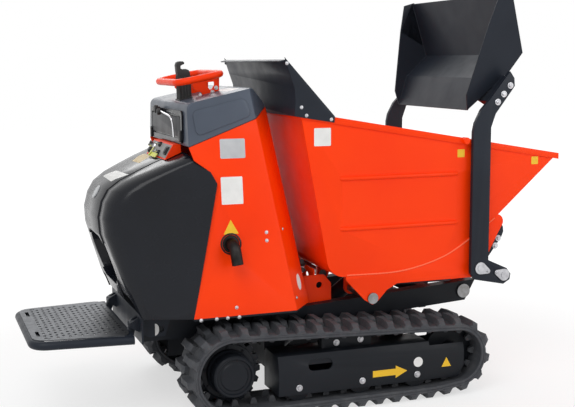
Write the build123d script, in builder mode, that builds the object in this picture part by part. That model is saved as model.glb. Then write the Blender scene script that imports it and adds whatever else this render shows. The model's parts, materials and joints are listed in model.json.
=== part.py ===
from build123d import *
import math
import os

os.makedirs("parts", exist_ok=True)

# A tracked mini dumper with a front-tipping skip and a self-loading shovel.
# Millimetres. +X is forwards, towards the skip, +Z is up, and Y = 0 is the plane of symmetry.
# The origin is on the ground under the middle of the machine's length.

# Rubber tracks
track_outer_y = 375.0
track_width = 180.0
track_inner_y = track_outer_y - track_width
track_mid_y = track_outer_y - track_width / 2
belt_thick = 18.0
lug_height = 22.0
lug_count = 37
lug_base = 36.0
lug_tip = 24.0
lug_lap = 15.0
horn_height = 19.0
horn_base = 24.0
horn_tip = 12.0
horn_thick = 16.0
horn_offset = 30.0
sprocket_x = -292.0
idler_x = 476.0
sprocket_belt_r = 125.0
idler_belt_r = 104.0
idler_lift = 10.0
lift_x = 390.0
fit_gap = 0.3

sprocket_z = lug_height + sprocket_belt_r
idler_z = lug_height + idler_lift + idler_belt_r

# Sprocket, idler, rollers and final drive
sprocket_teeth = 11
sprocket_tip_r = sprocket_belt_r - belt_thick - fit_gap
sprocket_root_r = 93.0
sprocket_tooth_base = 30.0
sprocket_tooth_tip = 17.0
sprocket_half = 14.0
motor_r = 60.0
hub_r = 65.0
hub_neck_r = 40.0
idler_r = idler_belt_r - belt_thick - fit_gap
idler_half = 15.0
idler_hub_r = 34.0
roller_x = (-76.0, 139.5, 335.0)
roller_z = 84.0
roller_r = roller_z - lug_height - belt_thick - fit_gap
roller_hub_r = 21.0
roller_tread = 14.0
axle_r = 12.0

# Track frame, an inverted channel inside the track
frame_outer_y = 355.0
frame_inner_y = 215.0
frame_wall = 8.0
frame_rear_x = -144.0
frame_front_x = 507.0
frame_low_z = 62.0
frame_crease_z = 150.0
frame_top_z = 187.0
frame_lean = 12.0
fork_clear = 8.0
frame_nose_cut = 22.0
slot_x = -4.0
slot_length = 82.0
slot_z = 152.0
slot_high = 36.0
carrier_x = 70.0
carrier_length = 100.0
carrier_half = 17.0

# Chassis
beam_inner_y = 150.0
beam_outer_y = 190.0
beam_rear_x = -540.0
beam_kink_x = -30.0
beam_front_x = 639.0
beam_front_cut = 39.0
beam_low_z = 235.0
beam_top_z = 320.0
beam_front_z = 300.0
beam_slope = 0.0688
beam_depth = 68.0
deck_thick = 6.0
deck_front_x = -22.0
deck_step_x = -404.0
deck_rear_half = 262.0
cross_tube = 60.0
cross_x = (-100.0, 330.0)
cross_z = 140.0
post_length = 70.0
motor_plate = 15.0
tie_eye_x = 520.0
tie_eye_z = 245.0
tie_eye_r = 16.0
tie_eye_thick = 20.0
support_rear_x = 12.0
support_front_x = 112.0
support_top_z = 396.0

# Body over the engine
wall = 4.0
base_z = beam_top_z + deck_thick
side_half = 325.5
side_lean = 0.122
crease_x = -72.0
crease_lean = 0.178
bevel_x = 76.0
bevel_y = 95.0
bevel_x_top = 65.2
bevel_y_top = 81.5
body_top_z = 1015.0
joint_low_x = -404.0
joint_bulge_x = -313.0
joint_bulge_z = 729.0
joint_top_x = -381.0
joint_top_z = 801.0
console_rear_x = -395.0
console_low_z = 840.0
console_mid_x = -171.0
console_mid_z = 924.0
console_round = 22.0
exhaust_x = -277.0
exhaust_z = 545.0

# Tipping pivot, skip and shovel
pivot_x = 592.0
pivot_z = 309.0
pivot_pin_r = 16.0
pin_clear = 0.25
skip_half = 308.0
skip_wall = 5.0
skirt_wall = 8.0
arm_inner_y = 318.0
arm_wall = 15.0
arm_outer_y = arm_inner_y + arm_wall
shovel_pin_x = 574.0
shovel_pin_z = 415.0
toe_pin_x = 664.0
toe_pin_z = 387.0
arm_pin_r = 15.0
rest_pin_x = 195.0
rest_pin_z = 339.0
rest_pin_r = 14.0

left = 1
right = -1
sides = ((left, "left"), (right, "right"))


def top_plane(side, inner, outer):
    # The XZ plane at the +Y end of a slab between two distances from the middle.
    return Plane.XZ.offset(-outer if side == left else inner)


def disc(side, inner, outer, x, z, radius, mode=Mode.ADD):
    with BuildSketch(top_plane(side, inner, outer)) as face:
        with Locations((x, z)):
            Circle(radius)
    extrude(face.sketch, amount=outer - inner, mode=mode)


def slab(side, inner, outer, points, mode=Mode.ADD):
    with BuildSketch(top_plane(side, inner, outer)) as face:
        with BuildLine():
            Polyline(*points, close=True)
        make_face()
    extrude(face.sketch, amount=outer - inner, mode=mode)


def block(x, y, z, mode=Mode.ADD):
    # A box between two limits on each axis.
    with BuildSketch(Plane.XY.offset(z[0])) as face:
        with Locations(((x[0] + x[1]) / 2, (y[0] + y[1]) / 2)):
            Rectangle(x[1] - x[0], y[1] - y[0])
    extrude(face.sketch, amount=z[1] - z[0], mode=mode)


def across(points, half, mode=Mode.ADD):
    # A profile in XZ, extruded the same distance to both sides of the middle.
    slab(left, -half, half, points, mode)


def save(part, name):
    part.label = name
    export_step(part, f"parts/{name}.step")


# Track loop
centre_angle = math.atan2(idler_z - sprocket_z, idler_x - sprocket_x)
centre_distance = math.hypot(idler_x - sprocket_x, idler_z - sprocket_z)
top_normal = math.pi / 2 + centre_angle - math.asin((sprocket_belt_r - idler_belt_r) / centre_distance)
lift_distance = math.hypot(idler_x - lift_x, idler_z - lug_height)
lift_angle = math.atan2(idler_z - lug_height, idler_x - lift_x) - math.asin(idler_belt_r / lift_distance)


def on_circle(x, z, radius, angle):
    return (x + radius * math.cos(angle), z + radius * math.sin(angle))


def loop_knots(depth):
    # The loop's corner points and arcs, a distance inside the belt's outer surface.
    big = sprocket_belt_r - depth
    small = idler_belt_r - depth
    rear_low = on_circle(sprocket_x, sprocket_z, big, -math.pi / 2)
    lift = (lift_x - depth * math.tan(lift_angle / 2), lug_height + depth)
    front_low = on_circle(idler_x, idler_z, small, lift_angle - math.pi / 2)
    front_mid = on_circle(idler_x, idler_z, small, (lift_angle - math.pi / 2 + top_normal) / 2)
    front_top = on_circle(idler_x, idler_z, small, top_normal)
    rear_top = on_circle(sprocket_x, sprocket_z, big, top_normal)
    rear_mid = on_circle(sprocket_x, sprocket_z, big, (top_normal + 1.5 * math.pi) / 2)
    return rear_low, lift, front_low, front_mid, front_top, rear_top, rear_mid


def loop_outline(depth):
    rear_low, lift, front_low, front_mid, front_top, rear_top, rear_mid = loop_knots(depth)
    Polyline(rear_low, lift, front_low)
    ThreePointArc(front_low, front_mid, front_top)
    Line(front_top, rear_top)
    ThreePointArc(rear_top, rear_mid, rear_low)


def loop_places(depth, count, phase):
    # Evenly spaced places on the loop: point and the angle of its outward normal.
    rear_low, lift, front_low, _, front_top, rear_top, _ = loop_knots(depth)
    big = sprocket_belt_r - depth
    small = idler_belt_r - depth
    front_turn = top_normal - (lift_angle - math.pi / 2)
    rear_turn = 1.5 * math.pi - top_normal
    pieces = (
        (math.dist(rear_low, lift), rear_low, lift, None),
        (math.dist(lift, front_low), lift, front_low, None),
        (small * front_turn, (idler_x, idler_z), small, lift_angle - math.pi / 2),
        (math.dist(front_top, rear_top), front_top, rear_top, None),
        (big * rear_turn, (sprocket_x, sprocket_z), big, top_normal),
    )
    total = sum(piece[0] for piece in pieces)
    places = []
    for index in range(count):
        along = (index + phase) * total / count
        for length, start, end, turn in pieces:
            if along <= length:
                break
            along -= length
        if turn is None:
            share = along / length
            point = (start[0] + (end[0] - start[0]) * share, start[1] + (end[1] - start[1]) * share)
            normal = math.atan2(end[1] - start[1], end[0] - start[0]) - math.pi / 2
        else:
            normal = turn + along / end
            point = on_circle(start[0], start[1], end, normal)
        places.append((point, normal))
    return places


def turned(x, z, turn, points):
    # Points given about an origin, turned and moved to a place in XZ.
    c = math.cos(turn)
    s = math.sin(turn)
    return [(x + u * c - v * s, z + u * s + v * c) for u, v in points]


def outline(points):
    with BuildLine() as edge:
        Polyline(*points, close=True)
    make_face(edge.edges())


def teeth_on_loop(depth, phases, base, tip, height, sink):
    # Trapezoids standing on the loop, outwards for a positive height and inwards for a negative one.
    shape = ((-base / 2, -sink), (-tip / 2, height), (tip / 2, height), (base / 2, -sink))
    for phase in phases:
        for point, normal in loop_places(depth, lug_count, phase):
            outline(turned(point[0], point[1], normal - math.pi / 2, shape))


def make_track(side):
    row = (track_width - 2 * lug_lap) / 2
    strips = (
        (track_inner_y, track_inner_y + row, (0.5,)),
        (track_inner_y + row, track_outer_y - row, (0.0, 0.5)),
        (track_outer_y - row, track_outer_y, (0.0,)),
    )
    with BuildPart() as track:
        for inner, outer, phases in strips:
            with BuildSketch(top_plane(side, inner, outer)) as face:
                with BuildLine():
                    loop_outline(0)
                make_face()
                teeth_on_loop(0, phases, lug_base, lug_tip, lug_height, 2.0)
                with BuildLine():
                    loop_outline(belt_thick)
                make_face(mode=Mode.SUBTRACT)
            extrude(face.sketch, amount=outer - inner)
        for offset in (-horn_offset, horn_offset):
            inner = track_mid_y + offset - horn_thick / 2
            outer = inner + horn_thick
            with BuildSketch(top_plane(side, inner, outer)) as face:
                teeth_on_loop(belt_thick, (0.25,), horn_base, horn_tip, -horn_height, -2.0)
            extrude(face.sketch, amount=horn_thick)
    return track.part


def make_sprocket(side):
    with BuildPart() as sprocket:
        inner = track_mid_y - sprocket_half
        outer = track_mid_y + sprocket_half
        with BuildSketch(top_plane(side, inner, outer)) as face:
            with Locations((sprocket_x, sprocket_z)):
                Circle(sprocket_root_r)
            for index in range(sprocket_teeth):
                angle = index * 2 * math.pi / sprocket_teeth
                outline(turned(sprocket_x, sprocket_z, angle, (
                    (-sprocket_tooth_base / 2, sprocket_root_r * 0.9),
                    (-sprocket_tooth_base / 2, sprocket_root_r),
                    (-sprocket_tooth_tip / 2, sprocket_tip_r - 0.6),
                    (sprocket_tooth_tip / 2, sprocket_tip_r - 0.6),
                    (sprocket_tooth_base / 2, sprocket_root_r),
                    (sprocket_tooth_base / 2, sprocket_root_r * 0.9),
                )))
            with Locations((sprocket_x, sprocket_z)):
                Circle(hub_neck_r, mode=Mode.SUBTRACT)
        extrude(face.sketch, amount=outer - inner)
    return sprocket.part


def make_final_drive(side):
    with BuildPart() as drive:
        disc(side, beam_outer_y, track_mid_y - sprocket_half, sprocket_x, sprocket_z, motor_r)
        disc(side, track_mid_y - sprocket_half, track_mid_y + sprocket_half, sprocket_x, sprocket_z,
             hub_neck_r - fit_gap)
        disc(side, track_mid_y + sprocket_half, track_outer_y - 1, sprocket_x, sprocket_z, hub_r)
        disc(side, track_outer_y - 8, track_outer_y, sprocket_x, sprocket_z, hub_r - 12, Mode.SUBTRACT)
        disc(side, track_outer_y - 9, track_outer_y - 4, sprocket_x, sprocket_z, hub_r - 26)
    return drive.part


def make_idler(side):
    plate_in = frame_inner_y + frame_wall
    plate_out = frame_outer_y - frame_wall
    with BuildPart() as idler:
        disc(side, track_mid_y - idler_half, track_mid_y + idler_half, idler_x, idler_z, idler_r)
        disc(side, plate_in + 9, plate_out - 9, idler_x, idler_z, idler_hub_r)
        disc(side, plate_in, plate_out, idler_x, idler_z, axle_r)
    return idler.part


def make_rollers(side):
    plate_in = frame_inner_y + frame_wall
    plate_out = frame_outer_y - frame_wall
    with BuildPart() as rollers:
        for x in roller_x:
            disc(side, plate_in + 5, plate_in + 5 + roller_tread, x, roller_z, roller_r)
            disc(side, plate_out - 5 - roller_tread, plate_out - 5, x, roller_z, roller_r)
            disc(side, plate_in + 5, plate_out - 5, x, roller_z, roller_hub_r)
            disc(side, plate_in, plate_out, x, roller_z, axle_r)
    return rollers.part


def make_track_frame(side):
    y_out = frame_outer_y
    y_in = frame_inner_y
    w = frame_wall
    lean = frame_lean
    section = (
        (y_out, frame_low_z), (y_out, frame_crease_z), (y_out - lean, frame_top_z),
        (y_in + lean, frame_top_z), (y_in, frame_crease_z), (y_in, frame_low_z),
        (y_in + w, frame_low_z), (y_in + w, frame_crease_z), (y_in + w + lean, frame_top_z - w),
        (y_out - w - lean, frame_top_z - w), (y_out - w, frame_crease_z), (y_out - w, frame_low_z),
    )
    fork_x = idler_x - idler_r - fork_clear
    low = frame_low_z - 1
    with BuildPart() as frame:
        with BuildSketch(Plane.YZ.offset(frame_rear_x)) as face:
            with BuildLine():
                Polyline(*[(side * y, z) for y, z in section], close=True)
            make_face()
        extrude(face.sketch, amount=frame_front_x - frame_rear_x)
        with BuildSketch(Plane.YZ.offset(frame_rear_x)) as face:
            with BuildLine():
                Polyline(*[(side * y, z) for y, z in section[:6]], close=True)
            make_face()
        extrude(face.sketch, amount=w)
        slab(side, y_in + w, y_out - w, (
            (fork_x, low), (frame_front_x + 1, low), (frame_front_x + 1, frame_top_z + 1), (fork_x, frame_top_z + 1),
        ), Mode.SUBTRACT)
        slab(side, y_in - 1, y_out + 1, (
            (frame_front_x + 1, low), (frame_front_x + 1, frame_low_z + 38), (frame_front_x - frame_nose_cut, low),
        ), Mode.SUBTRACT)
        with BuildSketch(top_plane(side, y_out - w - 1, y_out + 1)) as face:
            with Locations((slot_x, slot_z)):
                SlotOverall(slot_length, slot_high)
        extrude(face.sketch, amount=w + 2, mode=Mode.SUBTRACT)
        shoe_top = sprocket_z + sprocket_belt_r - belt_thick - 9 - fit_gap
        drop = -math.tan(top_normal - math.pi / 2)
        rear = carrier_x - carrier_length / 2
        front = carrier_x + carrier_length / 2
        base = sprocket_z + (sprocket_belt_r - belt_thick - 0.5) / math.sin(top_normal)
        slab(side, track_mid_y - carrier_half, track_mid_y + carrier_half, (
            (rear, frame_top_z), (rear, base - drop * (rear - sprocket_x)),
            (front, base - drop * (front - sprocket_x)), (front, frame_top_z),
        ))
    return frame.part


def beam_line(x, start_z):
    return start_z + (x - beam_kink_x) * beam_slope


def make_rails():
    with BuildPart() as rails:
        front_low_x = beam_front_x - beam_front_cut
        for side, _ in sides:
            slab(side, beam_inner_y, beam_outer_y, (
                (beam_rear_x, beam_low_z), (beam_kink_x, beam_low_z),
                (front_low_x, beam_line(front_low_x, beam_front_z) - beam_depth),
                (beam_front_x, beam_line(beam_front_x, beam_front_z)),
                (beam_kink_x, beam_front_z), (beam_kink_x, beam_top_z), (beam_rear_x, beam_top_z),
            ))
            for x in cross_x:
                top = max(beam_low_z, beam_line(x, beam_low_z)) + 2
                low = cross_z + cross_tube / 2
                slab(side, beam_inner_y, beam_outer_y, (
                    (x - post_length / 2, low), (x + post_length / 2, low),
                    (x + post_length / 2, top), (x - post_length / 2, top),
                ))
            slab(side, beam_outer_y - motor_plate, beam_outer_y, (
                (sprocket_x - 75, 75), (sprocket_x + 75, 75),
                (sprocket_x + 75, beam_low_z + 1), (sprocket_x - 75, beam_low_z + 1),
            ))
            disc(side, beam_inner_y - 1, beam_outer_y + 1, pivot_x, pivot_z, pivot_pin_r + fit_gap, Mode.SUBTRACT)
    return rails.part


def make_cross_members():
    half = cross_tube / 2
    cross_low = beam_line(500, beam_low_z)
    eye_front = tie_eye_x + tie_eye_thick
    with BuildPart() as members:
        for x in cross_x:
            block((x - half, x + half), (-frame_inner_y, frame_inner_y), (cross_z - half, cross_z + half))
        block((beam_rear_x, beam_rear_x + 40), (-beam_inner_y, beam_inner_y), (beam_low_z, beam_top_z))
        block((480, 520), (-beam_inner_y, beam_inner_y), (cross_low, cross_low + 40))
        block((tie_eye_x, eye_front), (-32, 32), (tie_eye_z, cross_low + 40))
        with BuildSketch(Plane.YZ.offset(tie_eye_x)) as face:
            with Locations((0, tie_eye_z)):
                Circle(32)
        extrude(face.sketch, amount=tie_eye_thick)
        with BuildSketch(Plane.YZ.offset(tie_eye_x - 1)) as face:
            with Locations((0, tie_eye_z)):
                Circle(tie_eye_r)
        extrude(face.sketch, amount=tie_eye_thick + 2, mode=Mode.SUBTRACT)
    return members.part


def make_skip_support():
    plate = 8
    with BuildPart() as support:
        for side, _ in sides:
            slab(side, beam_inner_y, beam_inner_y + plate, (
                (support_rear_x, beam_line(support_rear_x, beam_front_z)), (support_rear_x, support_top_z),
                (support_front_x - 25, support_top_z), (support_front_x, support_top_z - 30),
                (support_front_x, beam_line(support_front_x, beam_front_z)),
            ))
            disc(side, beam_inner_y - 1, beam_inner_y + plate + 1, 70, 362, 11, Mode.SUBTRACT)
        block((support_rear_x, support_rear_x + plate), (-beam_inner_y, beam_inner_y), (310, support_top_z))
    return support.part


def make_deck():
    with BuildPart() as deck:
        with BuildSketch(Plane.XY.offset(beam_top_z)) as face:
            with BuildLine():
                Polyline(
                    (beam_rear_x, -deck_rear_half), (deck_step_x, -deck_rear_half), (deck_step_x, -side_half),
                    (crease_x, -side_half), (deck_front_x, -side_half + bevel_y * 0.66),
                    (deck_front_x, side_half - bevel_y * 0.66), (crease_x, side_half),
                    (deck_step_x, side_half), (deck_step_x, deck_rear_half), (beam_rear_x, deck_rear_half),
                    close=True,
                )
            make_face()
        extrude(face.sketch, amount=deck_thick)
    return deck.part


def body_half(z):
    return side_half - side_lean * (z - base_z)


def tower_section(z, inset):
    share = (z - base_z) / (body_top_z - base_z)
    half = body_half(z) - inset
    bend = crease_x - crease_lean * (z - base_z) - inset * 0.4
    reach_x = bevel_x + (bevel_x_top - bevel_x) * share
    reach_y = bevel_y + (bevel_y_top - bevel_y) * share
    front = bend + reach_x - inset * 0.5
    return (
        (-470, -half), (bend, -half), (front, -half + reach_y), (front, half - reach_y), (bend, half), (-470, half),
    )


def tower_loft(inset, low, high, mode=Mode.ADD):
    sketches = []
    for z in (low, high):
        with BuildSketch(Plane.XY.offset(z)) as face:
            with BuildLine():
                Polyline(*tower_section(z, inset), close=True)
            make_face()
        sketches.append(face.sketch)
    loft(sketches, ruled=True, mode=mode)


console_front = (-119, 954)
body_joint = (
    (joint_low_x, base_z), (joint_bulge_x, joint_bulge_z), (joint_bulge_x - 18, joint_bulge_z + 36),
    (joint_top_x, joint_top_z), (console_rear_x, console_low_z),
)


def make_pedestal():
    with BuildPart() as pedestal:
        tower_loft(0, base_z, body_top_z)
        tower_loft(wall, base_z - 1, body_top_z + 1, Mode.SUBTRACT)
        across((
            (50, base_z), body_joint[0], body_joint[1], body_joint[2], body_joint[3], body_joint[4],
            (console_mid_x, console_mid_z), console_front, (50, 1000),
        ), side_half + 1, Mode.INTERSECT)
        disc(right, 250, side_half, exhaust_x, exhaust_z, 27, Mode.SUBTRACT)
    return pedestal.part


def make_console():
    with BuildPart() as console:
        tower_loft(0, base_z, body_top_z + 20)
        with BuildSketch(Plane.XZ.offset(-side_half)) as face:
            with BuildLine():
                Polyline(
                    (console_rear_x, console_low_z), (console_mid_x, console_mid_z), console_front, (-120, 964),
                    (-180, 1018), (console_rear_x, 971), close=True,
                )
            make_face()
            fillet(face.vertices().sort_by(Axis.Y)[-2:], console_round)
        extrude(face.sketch, amount=2 * side_half, mode=Mode.INTERSECT)
    return console.part


bonnet_rear = (
    (base_z, -560), (405, -592), (506, -626), (572, -647), (624, -651), (672, -640), (707, -620), (734, -583),
    (760, -530), (784, -477), (798, -442), (818, console_rear_x),
)
spine_half = 118.0
spine_high = 5.0
bonnet_front_x = -300.0
pan_half = 130.0
pan_high = 160.0


def bonnet_half(z, x):
    # Half the bonnet's width, which narrows upwards and to the rear.
    share = (z - base_z) / (798 - base_z)
    return 325 - 72.8 * share + (0.365 - 0.165 * share) * (x - joint_low_x)


def bonnet_corner(z):
    return 32 + 55 * min(1, (z - base_z) / (707 - base_z))


def bonnet_shape(inset, spine):
    # A stack of level sections: the whole bonnet, the space inside it, or the raised spine along its middle.
    step = 0 if spine else spine_high
    with BuildPart() as shape:
        sketches = []
        for z, rear in bonnet_rear:
            x = rear + step + inset
            near = spine_half if spine else bonnet_half(z, x) - inset
            front = spine_half if spine else bonnet_half(z, bonnet_front_x) - inset
            low = 60 if inset and z == base_z else 0
            with BuildSketch(Plane.XY.offset(z - inset * 0.7 - low)) as face:
                with BuildLine():
                    Polyline((bonnet_front_x, -front), (x, -near), (x, near), (bonnet_front_x, front), close=True)
                make_face()
                if not spine:
                    fillet(face.vertices().group_by(Axis.X)[0], bonnet_corner(z) - inset)
            sketches.append(face.sketch)
        loft(sketches, ruled=True)
    return shape.part


def bonnet_pan(outer, rim, depth):
    # A pan set into the bonnet's rear face.
    with BuildPart() as pan:
        with BuildSketch(Plane.YZ.offset(-700)) as face:
            with Locations((0, 480)):
                RectangleRounded(2 * pan_half + 2 * rim, pan_high + 2 * rim, 55 + rim)
        extrude(face.sketch, amount=depth)
        add(outer, mode=Mode.INTERSECT)
    return pan.part


def make_bonnet():
    with BuildPart() as outer:
        add(bonnet_shape(0, False))
        add(bonnet_shape(0, True))
        across(((-800, base_z), *body_joint[:4], (-387, 818), (-800, 818)), 400, Mode.INTERSECT)
    with BuildPart() as bonnet:
        add(outer.part)
        add(bonnet_shape(wall, False), mode=Mode.SUBTRACT)
        add(bonnet_pan(outer.part, wall, 144))
        add(bonnet_pan(outer.part, 0, 140), mode=Mode.SUBTRACT)
    return bonnet.part


def make_engine():
    with BuildPart() as engine:
        block((-520, -250), (-170, 170), (base_z, 640))
    return engine.part


# Skip
skip_rear_top = (-53.0, 944.0)
skip_front_top = (881.0, 786.0)
skip_rear_low = (37.0, 466.0)
skip_floor_rear = (95.0, 416.0)
skip_floor_front = (329.0, 427.0)
skip_rise_low = (488.0, 484.0)
skip_rise_high = (640.0, 576.0)
skip_nose = (660.0, 590.0)
skip_rib_z = (570.0, 731.0)


def skip_line(inset):
    # The closed side profile of the tub. Inset moves its bottom and end walls inwards.
    rear_top = (skip_rear_top[0] + inset, skip_rear_top[1] + (30 if inset else 0))
    front_top = (skip_front_top[0] - inset * 1.4, skip_front_top[1] + (30 if inset else 0))
    rear_low = (skip_rear_low[0] + inset, skip_rear_low[1])
    floor_rear = (skip_floor_rear[0] + inset, skip_floor_rear[1] + inset)
    floor_front = (skip_floor_front[0], skip_floor_front[1] + inset)
    rise_low = (skip_rise_low[0], skip_rise_low[1] + inset * 1.2)
    rise_high = (skip_rise_high[0] - inset * 0.5, skip_rise_high[1] + inset)
    Polyline(front_top, rear_top, rear_low)
    TangentArc(rear_low, floor_rear, tangent=(rear_low[0] - rear_top[0], rear_low[1] - rear_top[1]))
    Line(floor_rear, floor_front)
    TangentArc(floor_front, rise_low, tangent=(floor_front[0] - floor_rear[0], floor_front[1] - floor_rear[1]))
    Polyline(rise_low, rise_high, front_top)


def skip_solid(inset, half):
    with BuildPart() as solid:
        with BuildSketch(Plane.XZ.offset(-half)) as face:
            with BuildLine():
                skip_line(inset)
            make_face()
        extrude(face.sketch, amount=2 * half)
    return solid.part


def make_skip_shell():
    with BuildPart() as shell:
        add(skip_solid(0, skip_half))
        add(skip_solid(skip_wall, skip_half - skip_wall), mode=Mode.SUBTRACT)
        for side, _ in sides:
            for z in skip_rib_z:
                with BuildSketch(top_plane(side, skip_half, skip_half + 4)) as face:
                    with Locations((290, z)):
                        SlotOverall(412, 12)
                extrude(face.sketch, amount=4)
    return shell.part


def make_skirt(side):
    outer = skip_half
    inner = outer - skirt_wall
    with BuildPart() as skirt:
        with BuildSketch(top_plane(side, inner, outer)) as face:
            with BuildLine():
                Polyline(
                    (657, 587), (600, 600), (300, 500), (102, 440), (102, 404), (168, 334), (195, 317.5), (216, 330),
                    (246, 362), (282, 381), (574, 381),
                )
                ThreePointArc((574, 381), (598, 391), (608, 415))
                Polyline((608, 415), (616, 453), (654, 524), (668, 548))
                ThreePointArc((668, 548), (673, 569), (657, 587))
            make_face()
        extrude(face.sketch, amount=outer - inner)
        add(skip_solid(0, skip_half + 10), mode=Mode.SUBTRACT)
        disc(side, inner - 1, outer + 1, shovel_pin_x, shovel_pin_z, arm_pin_r + pin_clear, Mode.SUBTRACT)
        disc(side, inner - 1, outer + 1, rest_pin_x, rest_pin_z, rest_pin_r + fit_gap, Mode.SUBTRACT)
    return skirt.part


hinge_inner_y = 110.0
hinge_outer_y = 145.0
rest_lug_inner_y = 120.0
rest_lug_outer_y = 132.0
clevis_x = 330.0
clevis_z = 385.0
clevis_inner_y = 26.0
clevis_outer_y = 38.0


def make_skip_lugs():
    with BuildPart() as lugs:
        for side, _ in sides:
            disc(side, hinge_inner_y, hinge_outer_y, pivot_x, pivot_z, 32)
            slab(side, hinge_inner_y, hinge_outer_y, (
                (pivot_x - 32, pivot_z), (pivot_x + 32, pivot_z), (pivot_x + 32, 400), (pivot_x + 6, 452),
                (pivot_x + 48, 520), (pivot_x + 48, 620), (pivot_x - 60, 620),
            ))
            slab(side, rest_lug_inner_y, rest_lug_outer_y, (
                (rest_pin_x - 22, rest_pin_z - 4), (rest_pin_x - 22, 440), (rest_pin_x + 60, 440),
                (rest_pin_x + 22, rest_pin_z - 4),
            ))
            disc(side, rest_lug_inner_y, rest_lug_outer_y, rest_pin_x, rest_pin_z, 22)
            slab(side, clevis_inner_y, clevis_outer_y, (
                (clevis_x - 22, clevis_z), (clevis_x - 40, 470), (clevis_x + 40, 470), (clevis_x + 22, clevis_z),
            ))
            disc(side, clevis_inner_y, clevis_outer_y, clevis_x, clevis_z, 22)
        add(skip_solid(0, skip_half + 10), mode=Mode.SUBTRACT)
        for side, _ in sides:
            disc(side, hinge_inner_y - 1, hinge_outer_y + 1, pivot_x, pivot_z, pivot_pin_r + pin_clear,
                 Mode.SUBTRACT)
            disc(side, rest_lug_inner_y - 1, rest_lug_outer_y + 1, rest_pin_x, rest_pin_z,
                 rest_pin_r + fit_gap, Mode.SUBTRACT)
    return lugs.part


def make_tip_pins():
    with BuildPart() as pins:
        for side, _ in sides:
            disc(side, hinge_inner_y - 6, beam_outer_y, pivot_x, pivot_z, pivot_pin_r)
            disc(side, beam_outer_y, beam_outer_y + 7, pivot_x, pivot_z, pivot_pin_r + 8)
    return pins.part


def make_rest_pins():
    with BuildPart() as pins:
        for side, _ in sides:
            disc(side, rest_lug_inner_y, skip_half, rest_pin_x, rest_pin_z, rest_pin_r)
            disc(side, skip_half, skip_half + 5, rest_pin_x, rest_pin_z, rest_pin_r + 4)
    return pins.part


rim_high = 20.0
rim_out = 5.0


def make_rim():
    slope = (skip_front_top[1] - skip_rear_top[1]) / (skip_front_top[0] - skip_rear_top[0])
    with BuildPart() as rim:
        x0, z0 = skip_rear_top
        x1, z1 = skip_front_top
        for side, _ in sides:
            slab(side, skip_half, skip_half + rim_out, (
                (x0 - rim_out, z0), (x1, z1),
                (x1, z1 - rim_high), (x0 - rim_out, z0 - rim_high),
            ))
            disc(side, skip_half, arm_outer_y, 517, 839, 11)
        block((x0 - rim_out - 1, x0 - 1), (-skip_half, skip_half), (z0 - rim_high, z0))
        add(skip_solid(0, skip_half), mode=Mode.SUBTRACT)
    return rim.part


def make_deflector():
    outer = skip_half + rim_out + 4
    inner = skip_half + rim_out
    plate = ((-107, 1110), (59, 927), (57, 908), (-75, 930), (-73, 959), (-72, 980), (-75, 1016), (-88, 1053))
    with BuildPart() as deflector:
        for side, _ in sides:
            slab(side, inner, outer, plate)
        across((
            (-75, 930), (-73, 959), (-72, 980), (-75, 1016), (-88, 1053), (-105, 1098), (-120, 1094), (-121, 1098),
            (-102, 1103), (-84, 1054), (-71, 1017), (-68, 980), (-69, 959), (-71, 934),
            (skip_rear_top[0] - rim_out - 1, 934), (skip_rear_top[0] - rim_out - 1, 930),
        ), inner)
    return deflector.part


def make_guard():
    half = skip_half - skirt_wall
    with BuildPart() as guard:
        across((
            (668, 556), (678, 545), (680, 527), (672, 508), (620, 440), (610, 447), (664, 512), (671, 528), (669, 541),
            (660, 550),
        ), half)
        for side, _ in sides:
            slab(side, half - 6, half, (
                (611, 446), (665, 511), (672, 528), (669, 542), (661, 551), (640, 545), (628, 500), (604, 454),
            ))
        add(skip_solid(0, skip_half + 10), mode=Mode.SUBTRACT)
    return guard.part


# Shovel
def make_arm(side):
    with BuildPart() as arm:
        with BuildSketch(top_plane(side, arm_inner_y, arm_outer_y)) as face:
            with BuildLine():
                Polyline(
                    (540, 398), (556, 377), (664, 355), (688, 369), (691, 388), (676, 408), (605, 440), (605, 880),
                    (621, 925), (672, 990), (690, 1014), (688, 1040), (672, 1062), (600, 972), (568, 938),
                    (546, 896), (540, 868),
                    close=True,
                )
            make_face()
        extrude(face.sketch, amount=arm_wall)
        for x, z in ((shovel_pin_x, shovel_pin_z), (toe_pin_x, toe_pin_z)):
            disc(side, arm_inner_y - 1, arm_outer_y + 1, x, z, arm_pin_r + fit_gap, Mode.SUBTRACT)
    return arm.part


keeper_r = 20.0
keeper_tail_r = 8.0
keeper_length = 30.0
lift_eye_inner_y = 262.0
lift_eye_outer_y = 286.0


def make_arm_pins():
    with BuildPart() as pins:
        for side, _ in sides:
            disc(side, skip_half - skirt_wall - 10, arm_outer_y, shovel_pin_x, shovel_pin_z, arm_pin_r)
            disc(side, lift_eye_outer_y + 1, arm_outer_y, toe_pin_x, toe_pin_z, arm_pin_r)
            for x, z, turn in ((shovel_pin_x, shovel_pin_z, -22), (toe_pin_x, toe_pin_z, 161)):
                # A keeper plate: a round end on the pin and a narrow tail for its bolt.
                angle = math.radians(turn)
                tail_x, tail_z = on_circle(x, z, keeper_length, angle)
                disc(side, arm_outer_y, arm_outer_y + 5, x, z, keeper_r)
                disc(side, arm_outer_y, arm_outer_y + 5, tail_x, tail_z, keeper_tail_r)
                slab(side, arm_outer_y, arm_outer_y + 5, turned(x, z, angle, (
                    (8, 18.3), (33.2, 7.3), (33.2, -7.3), (8, -18.3),
                )))
                disc(side, arm_outer_y + 5, arm_outer_y + 7, x, z, arm_pin_r - 4)
    return pins.part


bucket_lip_z = 934.0
bucket_lip_half = 258.0
bucket_flare = 0.235
bucket_wall = 6.0


def bucket_half(z):
    return bucket_lip_half + bucket_flare * (z - bucket_lip_z)


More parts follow.
